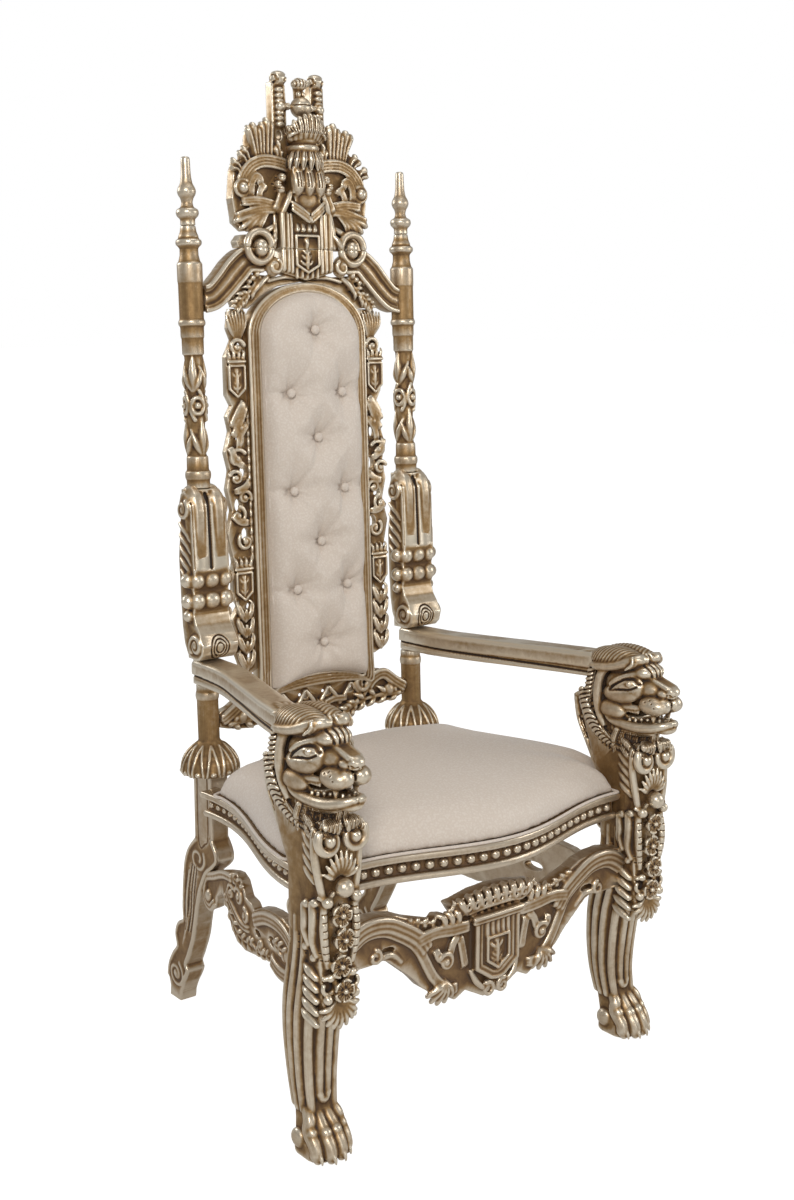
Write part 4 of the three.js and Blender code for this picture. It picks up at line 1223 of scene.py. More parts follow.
def addCartouche(work):
    half = [(0, 596), (30, 590), (41, 560), (38, 520), (33, 480), (37, 420), (36, 360), (34, 300),
            (24, 262), (0, 250)]
    outline = half + [(-x, z) for x, z in reversed(half[1:-1])]
    addSlab(work, outline, -52, -20)
    for side in (-1, 1):
        # shoulder scroll with a ball in its eye
        scroll = scrollRun(side * 25, 562, 23, 12, math.pi / 2 - side * 0.9, -side * 0.95, 7.8, 5.6)
        addStroke(work, [(u, -61 - 3 * math.sin(k / 5), v, r) for k, (u, v, r) in enumerate(scroll)])
        addBall(work, (side * 25, -64, 563), (10, 11, 11))
        addStroke(work, [(side * 42, -46, 580, 6), (side * 43, -48, 540, 7), (side * 38, -52, 500, 7),
                         (side * 32, -54, 470, 6)])
        # acanthus lobes that hang over the scroll
        for n in range(4):
            addStroke(work, [(side * (6 + 7 * n), -56, 594, 5), (side * (9 + 8 * n), -66, 588, 6.4),
                             (side * (10 + 8 * n), -68, 576 + n * 3, 4)], step=3)
        addBall(work, (side * 28, -62, 462), (9.5, 9.5, 9.5))
        addStroke(work, [(side * 14, -58, 474, 4), (side * 28, -60, 466, 4), (side * 40, -54, 470, 3)])
        # notched straps beside the flowers
        strap = [(side * 29, -53, 452, 6), (side * 32, -56, 420, 7.4), (side * 30, -57, 385, 7),
                 (side * 24, -55, 352, 5)]
        addStroke(work, strap)
        for n in range(7):
            z = 442 - 13 * n
            addGroove(work, "front", [(side * 24, z), (side * 36, z)], 1.3, 2.0)
        # C-scroll with a ball, low on the front
        addFrontScroll(work, -57, side * 25, 318, 17, 9, math.pi / 2 - side * 0.4, side * 0.9, 4.6, 3.6)
        addBall(work, (side * 27, -60, 298), (8, 8, 8))
        addBall(work, (side * 22, -60, 334), (7, 7, 7))
        # leaf strips on the outer and inner faces
        for y0, head, foot in ((-36, 455, 372), (-14, 448, 385)):
            addStroke(work, [(side * 39, y0, head, 7), (side * 41, y0 - 4, head - 25, 7.5),
                             (side * 40, y0 - 2, foot + 22, 7), (side * 38, y0 - 9, foot, 5)])
            addBall(work, (side * 40, y0 - 7, head + 4), (6, 8, 7))
            addBall(work, (side * 40, y0 - 3, foot - 6), (6, 6.5, 6.5))
        for n in range(5):
            z = 345 - 20 * n
            addStroke(work, [(side * 37, -12 + n * 2, z, 4), (side * 39, -26 + n * 1.5, z - 4, 8),
                             (side * 37, -42, z - 13, 6)])
        for n in range(6):
            z = 590 - 17 * n
            addStroke(work, [(side * 33, -6, z + 8, 4), (side * 36, -24, z, 7.5),
                             (side * 38, -42, z - 12, 5)])
    for n in range(9):
        a = math.pi * (0.08 + 0.84 * n / 8)
        addStroke(work, [(12 * math.cos(a), -57, 494 + 8 * math.sin(a), 2.6),
                         (24 * math.cos(a), -62, 496 + 26 * math.sin(a), 4.2), (34 * math.cos(a),
                         -60, 498 + 44 * math.sin(a), 2.4)], step=4)
    addBall(work, (0, -70, 483), (15.5, 14.5, 15.5))
    for x, z in frontLeg["flowers"]:
        addFlower(work, x, z)
    for n in range(9):
        a = math.pi * (1.04 + 0.92 * n / 8)
        addStroke(work, [(8 * math.cos(a), -52, 288 + 6 * math.sin(a), 3),
                         (26 * math.cos(a), -58, 284 + 26 * math.sin(a), 5.0), (37 * math.cos(a),
                         -54, 284 + 42 * math.sin(a), 3.6)], step=4)


def addFin(work):
    rear = [(76, 690), (138, 650), (128, 610), (108, 575), (84, 535), (66, 496), (56, 466), (56, 436),
            (66, 420), (56, 400), (30, 396), (0, 420), (0, 640)]
    addSlab(work, rear, -15, 15, "side")
    for side in (-1, 1):
        x = side * 15
        edge = [(134, 642, 4), (124, 606, 5.5), (105, 573, 6), (82, 534, 6), (64, 497, 5.5), (54, 462, 5),
                (56, 436, 4.5)]
        addStroke(work, [(x, y - 4, z, r) for y, z, r in edge], step=5)
        addSideScroll(work, x, 50, 414, 17, 4, 0.9, -1.3, 4.8, 3.4)
        addBall(work, (x, 50, 414), (6, 6, 6))
        addStroke(work, [(x - side * 2, 100, 620, 5), (x, 76, 572, 9), (x, 54, 522, 8),
                         (x - side * 2, 44, 478, 3)], step=5)
        for n in range(5):
            z = 612 - 26 * n
            y = 104 - 13 * n
            addStroke(work, [(x, y - 26, z - 14, 3), (x + side, y - 8, z, 5.5), (x, y + 8, z - 2, 3.5)],
                      step=4)


# A point on the hair: t runs from the parting (0) down the side (1) and sweeps back as it goes.
def onHair(side, t, y0):
    y = y0 + 26 * t
    share = math.sqrt(max(1 - ((y - 18) / 64) ** 2, 0.05))
    angle = math.radians(118 - 128 * t)
    return side * (15 + 32 * share * math.cos(angle)), y, 735 + 26 * share * math.sin(angle)


# Lion head: smooth brow, cheeks and muzzle over an open jaw, framed by a ribbed band and combed hair.
def addLion(work):
    addBall(work, (0, -4, 692), (37, 70, 38))
    addBall(work, (0, 34, 655), (36, 42, 58))
    addBox(work, (-31, 10, 600), (31, 76, 742))
    bridge = [(-26, 724), (-58, 717), (-104, 706), (-111, 699), (-106, 688), (-70, 676), (-26, 676)]
    addSlab(work, bridge, -12, 12, "side")
    addBall(work, (0, -101, 695), (15, 13, 12))
    addBall(work, (0, -40, 724), (33, 28, 17))
    addBall(work, (0, -50, 695), (30, 40, 21))
    addBall(work, (0, -84, 625), (22, 24, 11))
    addSlab(work, [(-24, 20), (24, 20), (24, -84), (-24, -84)], 618, 630, "top")
    for side in (-1, 1):
        addStroke(work, [(side * 11, -30, 718, 6), (side * 11.5, -66, 711, 5.5), (side * 11, -98, 703, 5)],
                  step=6)
        addBall(work, (side * 13, -88, 692), (8, 12, 8))
        # brow and cheek in one mass, with the eye in a narrow slot
        addBall(work, (side * 27, -10, 696), (19, 46, 30))
        addBall(work, (side * 31, -4, 681), (17, 44, 20), Matrix.Rotation(-0.12, 4, "X"))
        addStroke(work, [(side * 8, -62, 719, 5.5), (side * 17, -54, 724, 6.5), (side * 30, -34, 722, 6),
                         (side * 40, -6, 711, 5), (side * 43, 14, 697, 3.4)], step=4)
        addGroove(work, "side", [(-50, 706), (-38, 714), (-22, 712), (-6, 703), (8, 693), (16, 687)], 3.4,
                  4.0, side)
        addGroove(work, "side", [(-46, 700), (-34, 694), (-18, 692), (0, 689), (14, 686)], 3.0, 3.2, side)
        addBall(work, (side * 36, -30, 703), (8, 9, 7))
        addBall(work, (side * 42.5, -32, 704.5), (4.6, 5.4, 5.4))
        # whisker pads
        addBall(work, (side * 20, -74, 668), (21, 31, 18))
        addBall(work, (side * 15, -92, 670), (15, 15, 15))
        # lower cheek lobe and mouth corner
        addBall(work, (side * 33, 15, 647), (15, 33, 18))
        addStroke(work, [(side * 31, 12, 656, 6), (side * 31, -20, 658, 6), (side * 26, -50, 660, 5)], step=5)
        addStroke(work, [(side * 4, -102, 636, 6.5), (side * 18, -92, 632, 8), (side * 29, -64, 625, 9),
                         (side * 33, -30, 623, 9), (side * 35, 4, 626, 9), (side * 36, 22, 634, 8),
                         (side * 35, 22, 644, 6)], step=4)
        addStroke(work, [(side * 18, -70, 617, 8), (side * 25, -30, 612, 10), (side * 28, 10, 612, 10)],
                  step=6)
        # fangs and teeth
        addStroke(work, [(side * 19, -74, 656, 6), (side * 19.5, -75, 645, 5), (side * 19, -74, 634, 2.2)],
                  step=2)
        for n in range(7):
            t = n / 6
            addBall(work, (side * (8 + 23 * t), -93 + 66 * t, 641 - 6 * t), (3.2, 3.4, 4.6))
            addBall(work, (side * (28 + 4 * t), -44 + 34 * t, 651), (2.8, 3.2, 4))
        # smooth band round the face, then the ribbed ear
        addStroke(work, [(side * 38, 16, 731, 6), (side * 42, 34, 718, 8), (side * 43, 44, 694, 8.5),
                         (side * 42, 47, 664, 8.5), (side * 39, 44, 636, 7.5),
                         (side * 35, 36, 614, 6)], step=4)
        addStroke(work, [(side * 36, 66, 720, 9), (side * 37, 70, 700, 10), (side * 37, 73, 680, 10),
                         (side * 36, 76, 662, 8)], step=5)
        for n in range(7):
            z = 717 - 8.5 * n
            addGroove(work, "side", [(58, z + 3), (70, z + 1), (86, z - 2)], 2.8, 3.2, side)
        # mane strip: a flat ribbon of slanting locks that becomes the beard
        strip = [(38, 92, 668, 9), (40, 82, 648, 12), (41, 66, 622, 13), (39, 46, 602, 13),
                 (36, 22, 588, 12), (32, -4, 580, 10)]
        addStroke(work, [(side * x, y, z, r) for x, y, z, r in strip], (0.62, 1, 1), step=5)
        for n in range(15):
            t = n / 14 * 4.999
            k = int(t)
            y = strip[k][1] + (strip[k + 1][1] - strip[k][1]) * (t - k)
            z = strip[k][2] + (strip[k + 1][2] - strip[k][2]) * (t - k)
            addGroove(work, "side", [(y - 14, z + 8 - n), (y - 3, z + 3), (y + 8, z - 3), (y + 15, z - 13)],
                      2.2, 2.6, side)
        # beard: curling locks under the jaw
        for n in range(6):
            x = side * (5 + 6.5 * n)
            y = -62 + 12 * n
            addStroke(work, [(x, y, 610, 7), (x * 1.05, y + 5, 594, 7.5), (x * 0.98, y + 8, 578, 6),
                             (x * 0.9, y + 10, 566, 3)], step=4)
            for s in (-3, 0.5, 4):
                addGroove(work, "front", [(x + s, 610), (x * 1.05 + s, 592), (x * 0.96 + s, 572)], 1.7, 1.6)
                addGroove(work, "side", [(y + s, 610), (y + 6 + s, 590), (y + 10 + s, 570)], 1.7, 1.6, side)
        # combed hair, parted in the middle
        addBall(work, (side * 15, 18, 737), (31, 62, 25))
        addStroke(work, [(side * 5, -36, 742, 9), (side * 18, -40, 748, 10), (side * 33, -26, 744, 10),
                         (side * 43, 2, 734, 9), (side * 45, 30, 728, 9), (side * 42, 58, 724, 8)], step=5)
        for n in range(15):
            y0 = -40 + 8.2 * n
            addStroke(work, [(*onHair(side, t, y0), 2.6 + 1.2 * math.sin(math.pi * min(t + 0.15, 1)))
                             for t in (0, 0.14, 0.3, 0.46, 0.62, 0.78, 0.94)], step=4)
        for n in range(5):
            x0 = 4 + 8 * n
            addStroke(work, [(side * x0, -38 + n, 757 - n, 3),
                             (side * (x0 + 4), -46 + 2.4 * n, 747 - 1.5 * n, 3.4), (side * (x0 + 10),
                             -42 + 4 * n, 737 - 1.5 * n, 2.4)], step=3)
        for dy, dz in ((-84, 676), (-76, 681), (-68, 677), (-90, 669)):
            addGroove(work, "side", [(dy, dz), (dy + 0.6, dz)], 1.7, 2.4, side)
        addGroove(work, "front", [(side * 4, 690), (side * 9, 688), (side * 13, 692)], 2.4, 3)
    for x in (-16, -5, 5, 16):
        addGroove(work, "front", [(x * 0.9, 720), (x * 1.1, 738)], 3.0, 2.6)
    addGroove(work, "front", [(0, 686), (0, 656)], 2.6, 3.5)


def makeFrontLeg():
    work = newCarving()
    addLegCore(work)
    addRibs(work)
    addPaw(work)
    addCartouche(work)
    addFin(work)
    addLion(work)
    mesh = fuse(work, 1.7, frontLeg["triangles"])
    mesh.transform(Matrix.Translation((armSpread, 0, 0)))
    return limited(mesh, 2, low=0)


finishPair("front_leg_carved", makeFrontLeg(), "front_leg", gold)


# Flat carved work. It is drawn as seen from the front: x to the right, z up, h out of the face.
def addFronts(work, runs, sides=(1, -1), step=3.0):
    for side in sides:
        for run in runs:
            addStroke(work, [(side * x, -h, z, r) for x, z, h, r in run], step=step)


def offsetPoint(line, k, offset):
    before, after = Vector(line[max(k - 1, 0)]), Vector(line[min(k + 1, len(line) - 1)])
    way = (after - before).normalized()
    return line[k][0] - way.y * offset, line[k][1] + way.x * offset


def offsetLine(line, offset):
    return [offsetPoint(line, k, offset) for k in range(len(line))]


def addReeds(work, line, offsets, radius, height, sides=(1, -1), taper=0.6):
    for offset in offsets:
        points = offsetLine(line, offset)
        last = len(points) - 1
        run = [(x, z, height - (2 if k in (0, last) else 0), radius * (taper if k == last else 1))
               for k, (x, z) in enumerate(points)]
        addFronts(work, [run], sides)


def addLeaf(work, spine, width, lobes, height, thick=4.6, sides=(1, -1), hands=(1, -1)):
    points = [Vector(p) for p in spine]
    last = len(points) - 1
    addFronts(work, [[(p.x, p.y, height - 1, thick * (1 - 0.55 * k / last)) for k, p in enumerate(points)]],
              sides)
    for hand in hands:
        for n in range(lobes):
            t = (n + 0.35) / lobes * last
            k = min(int(t), last - 1)
            at = points[k].lerp(points[k + 1], t - k)
            way = (points[k + 1] - points[k]).normalized()
            out = Vector((-way.y, way.x)) * hand
            reach = width * (0.55 + 0.45 * math.sin(math.pi * (0.2 + 0.7 * n / lobes)))
            middle = at + way * reach * 0.45 + out * reach * 0.55
            tip = at + way * reach * 0.95 + out * reach * 0.9
            addFronts(work, [[(at.x, at.y, height - 3, thick * 0.6), (middle.x, middle.y, height, thick),
                              (tip.x, tip.y, height - 3.5, thick * 0.45)]], sides)


def addPierced(work, outline, holes, low, high):
    loops = [[Vector((x, z, 0)) for x, z in line] for line in [outline, *holes]]
    flat = [p for loop in loops for p in loop]
    bm = work["solids"]
    near = [bm.verts.new((p.x, low, p.y)) for p in flat]
    far = [bm.verts.new((p.x, high, p.y)) for p in flat]
    for a, b, c in tessellate_polygon(loops):
        bm.faces.new((near[a], near[b], near[c]))
        bm.faces.new((far[c], far[b], far[a]))
    start = 0
    for loop in loops:
        count = len(loop)
        for k in range(count):
            a, b = start + k, start + (k + 1) % count
            bm.faces.new((near[a], near[b], far[b], far[a]))
        start += count


def mirroredOutline(half):
    inside = [p for p in half if p[0] > 0]
    return half + [(-x, z) for x, z in reversed(inside)]


def ovalHole(cx, cz, a, b, steps=14):
    return [(cx + a * math.cos(2 * math.pi * k / steps), cz + b * math.sin(2 * math.pi * k / steps))
            for k in range(steps)]


# A small shield with a raised rim. The charge on it is a plain sprig.
def shieldRim(cx, top, shoulder, tip, half):
    return [(cx - half, top), (cx + half, top), (cx + half, shoulder), (cx, tip), (cx - half, shoulder),
            (cx - half, top)]


def addSprig(work, cx, top, bottom, width, height, radius, low=farDown, up=-farDown):
    span = top - bottom
    ends = max(bottom, low), min(top, up)
    addStroke(work, [(cx, -height, ends[0], radius), (cx, -height - 1, sum(ends) / 2, radius * 1.5),
                     (cx, -height, ends[1], radius)],
              step=2)
    for n in range(5):
        z = bottom + span * (0.12 + 0.18 * n)
        if low < z < up - 4:
            for side in (-1, 1):
                reach = width * (0.65 + 0.35 * math.sin(2.6 * n + 0.6))
                addStroke(work, [(cx, -height, z, radius), (cx + side * reach * 0.6, -height - 0.6, z + 3,
                                                            radius * 0.9),
                                 (cx + side * reach, -height, min(z + 8, up), radius * 0.5)], step=2)


crestShape = {
    "half": [(0, 1500), (146, 1500), (150, 1512), (140, 1524), (116, 1526), (104, 1530), (116, 1533),
             (131, 1531), (150, 1546), (152, 1564), (156, 1590), (153, 1616), (150, 1642), (143, 1656),
             (128, 1660), (128, 1676), (116, 1686), (113, 1715), (92, 1722), (84, 1706), (70, 1732),
             (60, 1724), (59, 1808), (29, 1808), (27, 1728), (0, 1722)],
    "front": -8,
    "rear": 14,
    "middle": -22,
    "joint": 1500.15,
    "triangles": 90000,
}


def addCrestShoulder(work):
    arch = [(34, 1654), (58, 1659), (88, 1660), (114, 1650), (131, 1632), (136, 1620)]
    addReeds(work, smoothLine(arch), (-9, -3, 3, 9), 3.5, 14)
    addReeds(work, smoothLine([(118, 1598), (117, 1616), (108, 1631), (98, 1628), (97, 1617)]),
             (-4.5, 0, 4.5), 3.2, 15)
    addReeds(work, smoothLine([(100, 1588), (98, 1602), (90, 1614), (83, 1608)]), (-4, 0, 4), 3, 13)
    addReeds(work, smoothLine([(50, 1606), (57, 1588), (66, 1570)]), (-5, 0, 5), 3.8, 19)
    addReeds(work, smoothLine([(70, 1581), (102, 1586), (137, 1583)]), (-4.5, 1, 6), 3.6, 15)
    addReeds(work, smoothLine([(66, 1573), (104, 1570), (150, 1556)]), (-5, 0, 5), 3.8, 15)
    for tip in ((152, 1546), (141, 1534), (126, 1532), (108, 1532)):
        bend = (tip[0] * 0.6 + 34, tip[1] * 0.45 + 1566 * 0.55)
        addFronts(work, [[(74, 1572, 10, 4), (*bend, 15, 5.6), (tip[0] - 3, tip[1] + 4, 13, 5.4),
                          (*tip, 7, 3)]])
        addFronts(work, [[(78, 1569, 14, 2), (bend[0] - 5, bend[1] - 3, 18, 2.6),
                          (tip[0] - 8, tip[1] + 3, 15, 2)]])
    for side in (1, -1):
        curl = scrollRun(side * 136, 1607, 17, 11, math.pi / 2 + side * 0.5, -side * 0.8, 5, 3.4)
        addStroke(work, [(u, -14, v, r) for u, v, r in curl])
        addBall(work, (side * 137, -17, 1609), (10.5, 11, 10.5))
        for x, z, r in ((51, 1631, 8.5), (60, 1619, 7), (54, 1609, 8)):
            addBall(work, (side * x, -19, z), (r, r + 2, r))
            addGroove(work, "front", [(side * (x - 7), z), (side * (x + 7), z + 1)], 1.4, 1.6)


def addCrestPlumes(work):
    plumes = (((100, 1660), (118, 1722), 7), ((96, 1660), (107, 1727), 8), ((90, 1660), (96, 1722), 7),
              ((84, 1662), (88, 1730), 7), ((76, 1662), (77, 1738), 8), ((68, 1662), (67, 1734), 7),
              ((122, 1654), (138, 1676), 6), ((116, 1660), (129, 1685), 6.5), ((134, 1640), (152, 1662),
              6.5), ((136, 1634), (155, 1651), 5.5),
              ((47, 1662), (47, 1686), 6), ((54, 1662), (58, 1690), 6), ((50, 1664), (52, 1701), 5.5))
    for (x0, z0), (x1, z1), r in plumes:
        addFronts(work, [[(x0, z0, 6, r * 0.75), ((x0 + x1) / 2, (z0 + z1) / 2, 9, r * 0.9),
                          (x1, z1 - 7, 12, r), (x1, z1 - 2, 8, r * 0.7)]])
        addFronts(work, [[(x0, z0, 12, 1.8), ((x0 + x1) / 2, (z0 + z1) / 2, 15.5, 2.2),
                          (x1, z1 - 8, 18.5, 1.8)]])


def addCrestHorns(work):
    for side in (1, -1):
        addStroke(work, [(side * x, -5, 1815, 14) for x in (39, 46)], step=6)
        for end in (24, 62):
            addGroove(work, "side", [(-8 + 8 * math.cos(a), 1813 + 8 * math.sin(a))
                                     for a in (0, 1.2, 2.4, 3.6, 4.8)],
                      2.4, 2.6, side if end > 40 else -side)
        for n in range(7):
            addBall(work, (side * 45, -11, 1793 - 10.5 * n), (9.5, 7, 5.4))
        addBall(work, (side * 45, -13, 1762), (10, 10, 9))
        for x in (36, 31, 26):
            addBall(work, (side * x, -12, 1764), (3.4, 7, 7.5 if x != 31 else 6))
    addBall(work, (0, -14, 1806), (18, 15, 11))
    addStroke(work, [(0, -10, 1806, 13), (0, -8, 1796, 10), (0, -8, 1780, 9)], step=5)
    for x in (-5, 5):
        addBall(work, (x, -17, 1787), (4.6, 5, 6))
    for n in range(-2, 3):
        addGroove(work, "front", [(n * 6.4, 1800), (n * 7.4, 1817)], 1.8, 2)
    addBall(work, (0, -16, 1763), (21, 20, 20))
    addGroove(work, "front", [(-19, 1766), (19, 1766)], 1.6, 2.2)


def addCrestCrown(work):
    middle = crestShape["middle"]
    band = [(1668, 20), (1676, 28), (1684, 32), (1690, 32), (1693, 26), (1696, 27), (1699, 29), (1703, 28),
            (1706, 23), (1714, 30)]
    addLathe(work, band, (0, middle + 6))
    for n in range(-4, 5):
        a = n * 0.2
        x = 52 * math.sin(a) * 1.05
        y = middle - 4 - 20 * math.cos(1.6 * a)
        top = 1747 - 30 * (n / 4) ** 2 * 0.75
        addStroke(work, [(x * 0.82, y + 5, 1708 - 5 * abs(a), 7), (x * 0.95, y, 1722 - 4 * abs(a), 8.2),
                         (x * 1.02, y - 1, top - 6, 6), (x, y + 3, top, 3)],
                  step=4)
        for s in (-0.05, 0.05):
            addGroove(work, "front", [(52 * math.sin(a + s) * 0.9, 1712),
                                      (52 * math.sin(a + s) * 1.05, top - 3)], 1.3, 1.6)
    for n in range(-8, 9):
        a = n / 8 * 1.15
        addBall(work, (45 * math.sin(a), middle - 2 - 26 * math.cos(a), 1719 - 22 * (1 - math.cos(a))),
                (3.2, 3.6, 4.2))
    for a in (-1.25, -0.85, -0.45, 0, 0.45, 0.85, 1.25):
        x, y = math.sin(a), -math.cos(a)
        addStroke(work, [(28 * x, middle + 4 + 24 * y, 1676, 6), (35 * x, middle + 3 + 27 * y, 1664, 7),
                         (38 * x, middle + 3 + 26 * y, 1652, 4.5),
                         (38 * x, middle + 3 + 26 * y, 1645, 2)], step=3)
        addGroove(work, "front", [(29 * x, 1678), (36 * x, 1662), (38 * x, 1648)], 1.4, 2)


def addCrestBib(work):
    for x, tip in ((-24, 1592), (0, 1590), (24, 1592)):
        addStroke(work, [(x, -26, 1650, 12), (x, -32, 1622, 14.5), (x * 1.04, -32, 1606, 11),
                         (x * 1.06, -31, tip + 5, 3)], step=4)
        for s in (-6, 0, 6):
            addGroove(work, "front", [(x + s, 1640), (x + s, 1614)], 1.5, 1.8)
    addSlab(work, [(-36, 1650), (36, 1650), (37, 1602), (-37, 1602)], -36, -4)
    addBall(work, (0, -14, 1596), (34, 22, 32))
    addSlab(work, [(-33, 1606), (33, 1606), (27, 1580), (0, 1563), (-27, 1580)], -31, -4)
    for side in (1, -1):
        for n in (-1, 0, 1):
            shift = 7 * n
            addStroke(work, [(side * 36, -30, 1579 + shift, 3), (side * 20, -35, 1568 + shift, 3.7),
                             (side * 4, -37, 1557 + shift, 3.2)], step=3)
        addStroke(work, [(side * 36, -26, 1604, 5), (side * 44, -26, 1588, 6), (side * 52, -22, 1570, 6)],
                  step=4)
    addStroke(work, [(-1, -38, 1556, 4), (1, -39, 1552, 3)], step=2)


def addPlaque(work, low, high):
    addSlab(work, [(-60, low), (60, low), (60, high), (-60, high)], -20, 0)
    for side in (1, -1):
        for x, r in ((55, 5.5), (44, 4.4), (35, 3.6)):
            addStroke(work, [(side * x, -22, low + 2, r), (side * x, -22, high - 2, r)], step=6)


def addRim(work, outline, height, radius):
    for (x0, z0), (x1, z1) in zip(outline, outline[1:]):
        addStroke(work, [(x0, -height, z0, radius), (x1, -height, z1, radius)], step=5)


def smoothLine(points, step=7.0):
    return [(x, z) for x, _, z, _ in smoothRun([(x, 0, z, 1) for x, z in points], step)]


def makeCrest():
    work = newCarving()
    holes = [ovalHole(side * 46, 1710, 6, 9) for side in (1, -1)]
    addPierced(work, mirroredOutline(crestShape["half"]), holes, crestShape["front"], crestShape["rear"])
    addCrestShoulder(work)
    addCrestPlumes(work)
    addCrestHorns(work)
    addCrestCrown(work)
    addCrestBib(work)
    addPlaque(work, 1500, 1566)
    addRim(work, [(-26, 1500), (-26, 1525), (26, 1525), (26, 1500)], 25, 2.8)
    addSprig(work, 0, 1521, 1462, 15, 22, 3, low=1502)
    for x in (-20, -7, 7, 20):
        addStroke(work, [(x, -22, 1536, 5), (x, -21, 1545, 3)], step=3)
    for side in (1, -1):
        ring = arcRun(side * 108, 1503, 27, 27, 0.1 if side > 0 else math.pi - 0.1,
                      math.pi * 0.93 if side > 0 else math.pi * 0.07)
        addStroke(work, [(x, -22, z, 7.5) for x, z in ring])
        addBall(work, (side * 106, -22, 1504), (13, 14, 13))
        addStroke(work, [(side * 84, -20, 1503, 6), (side * 76, -22, 1514, 6.5), (side * 70, -18, 1524, 5)],
                  step=4)
        addStroke(work, [(side * 70, -14, 1504, 5), (side * 68, -16, 1530, 5), (side * 66, -12, 1562, 4)],
                  step=5)
        addStroke(work, [(side * 96, -12, 1530, 5), (side * 84, -16, 1534, 6), (side * 74, -14, 1540, 5)],
                  step=5)
    mesh = fuse(work, 1.5, crestShape["triangles"])
    limited(mesh, 2, low=crestShape["joint"])
    return limited(mesh, 1, high=crestShape["rear"])


finishPiece("crest_carved", makeCrest(), ["crest"], gold, True)


# Top rail: two swept arms with a hollow face, the lower half of the plaque, and leaves in the corners.
railShape = {
    "arm": [(229, 1404), (206, 1411), (180, 1434), (156, 1459), (130, 1478), (96, 1470)],
    "armHalf": [23, 23, 24, 25, 23, 14],
    "web": [(0, 1444), (80, 1450), (110, 1452), (140, 1436), (166, 1404), (160, 1391), (128, 1388),
            (100, 1410), (60, 1430), (0, 1440)],
    "joint": 1499.85,
    "triangles": 44000,
}


def addRailArm(work, side):
    line = smoothLine(railShape["arm"], 6)
    count = len(line)
    widths = np.interp(np.linspace(0, 5, count), range(6), railShape["armHalf"])
    upper = [offsetPoint(line, k, -widths[k]) for k in range(count)]
    lower = [offsetPoint(line, k, widths[k]) for k in range(count)]
    addSlab(work, [(side * x, z) for x, z in upper + lower[::-1]], -14, 20)
    for inset, h, r in ((2.5, 16, 4.6), (9, 15, 2.2)):
        for sign in (-1, 1):
            edge = [offsetPoint(line, k, sign * (widths[k] - inset)) for k in range(count)]
            addStroke(work, [(side * x, -h, z, r) for x, z in edge[inset > 5:]], step=6)
    addStroke(work, [(side * x, -8, z, 10.5) for x, z in line], (1, 0.8, 1), step=6)


def makeTopRail():
    work = newCarving()
    addSlab(work, mirroredOutline(railShape["web"]), -6, 10)
    addSlab(work, [(-60, 1500), (-60, 1456), (0, 1441), (60, 1456), (60, 1500)], -20, 10)
    for side in (1, -1):
        addRailArm(work, side)
        for x, r in ((55, 5.5), (44, 4.4), (35, 3.6)):
            addStroke(work, [(side * x, -22, 1498, r), (side * x, -22, 1462 - (55 - x) * 0.25, r)], step=6)
        for x in (24, 12):
            addStroke(work, [(side * x, -21, 1463, 3.4), (side * x, -21, 1449 - x * 0.1, 3.4)], step=4)
        ring = arcRun(side * 108, 1501, 27, 27, -0.1 if side > 0 else math.pi + 0.1,
                      -math.pi * 0.93 if side > 0 else math.pi * 1.93)
        addStroke(work, [(x, -22, z, 7.5) for x, z in ring])
        addBall(work, (side * 106, -22, 1496), (13, 14, 13))
        addBall(work, (side * 78, -20, 1466), (17, 12, 19))
        addFrontScroll(work, -29, side * 78, 1466, 14, 5, math.pi / 2 + side * 0.6, side * 1.1, 4.4, 3)
        addReeds(work, smoothLine([(96, 1464), (118, 1463), (138, 1448), (146, 1436)]), (-4, 4), 3.2, 12,
                 (side,))
        for n, (x, z) in enumerate(((112, 1452), (121, 1445), (129, 1438))):
            addBall(work, (side * x, -13, z), (6.2 - n * 0.6, 8, 6.2 - n * 0.6))
        addLeaf(work, smoothLine([(104, 1446), (122, 1426), (150, 1402), (160, 1392)]), 17, 4, 12, 4, (side,))
        addLeaf(work, smoothLine([(128, 1420), (146, 1404), (162, 1386)]), 13, 3, 13, 3.6, (side,))
        addStroke(work, [(side * 88, -12, 1446, 5), (side * 104, -14, 1434, 5.5),
                         (side * 122, -10, 1414, 4)], step=4)
        addStroke(work, [(side * 18, -10, 1446, 4), (side * 50, -12, 1447, 4), (side * 84, -11, 1440, 4)],
                  step=5)
    addRim(work, [(-26, 1500), (-26, 1470), (0, 1456), (26, 1470), (26, 1500)], 25, 2.8)
    addSprig(work, 0, 1521, 1462, 15, 22, 3, up=1498)
    addStroke(work, [(0, -21, 1452, 3.4), (0, -21, 1446, 3.4)], step=3)
    mesh = fuse(work, 1.5, railShape["triangles"])
    limited(mesh, 2, high=railShape["joint"])
    return limited(mesh, 0, -226, 226)


finishPiece("top_rail_carved", makeTopRail(), ["top_rail"], gold, True)


# Side panels: open carving between the padded back and the posts, drawn for the right side.
panel = {
    "edge": [(168, 1388), (175, 1352), (166, 1330), (182, 1300), (183, 1228), (172, 1208), (184, 1188),
             (178, 1160), (190, 1120), (182, 1086), (190, 1050), (180, 1010), (192, 965), (180, 912),
             (184, 896), (184, 844), (174, 826), (191, 802), (181, 776), (189, 750), (172, 702),
             (150, 692)],
    "inner": 137.3,
    "holes": [(150, 1318, 7, 8), (150, 1204, 6, 9), (158, 1146, 8, 13), (152, 1082, 8, 14),
              (166, 1020, 8, 13), (152, 962, 9, 14), (150, 824, 6, 7), (149, 772, 5, 10), (152, 726, 6, 9)],
    "triangles": 36000,
}


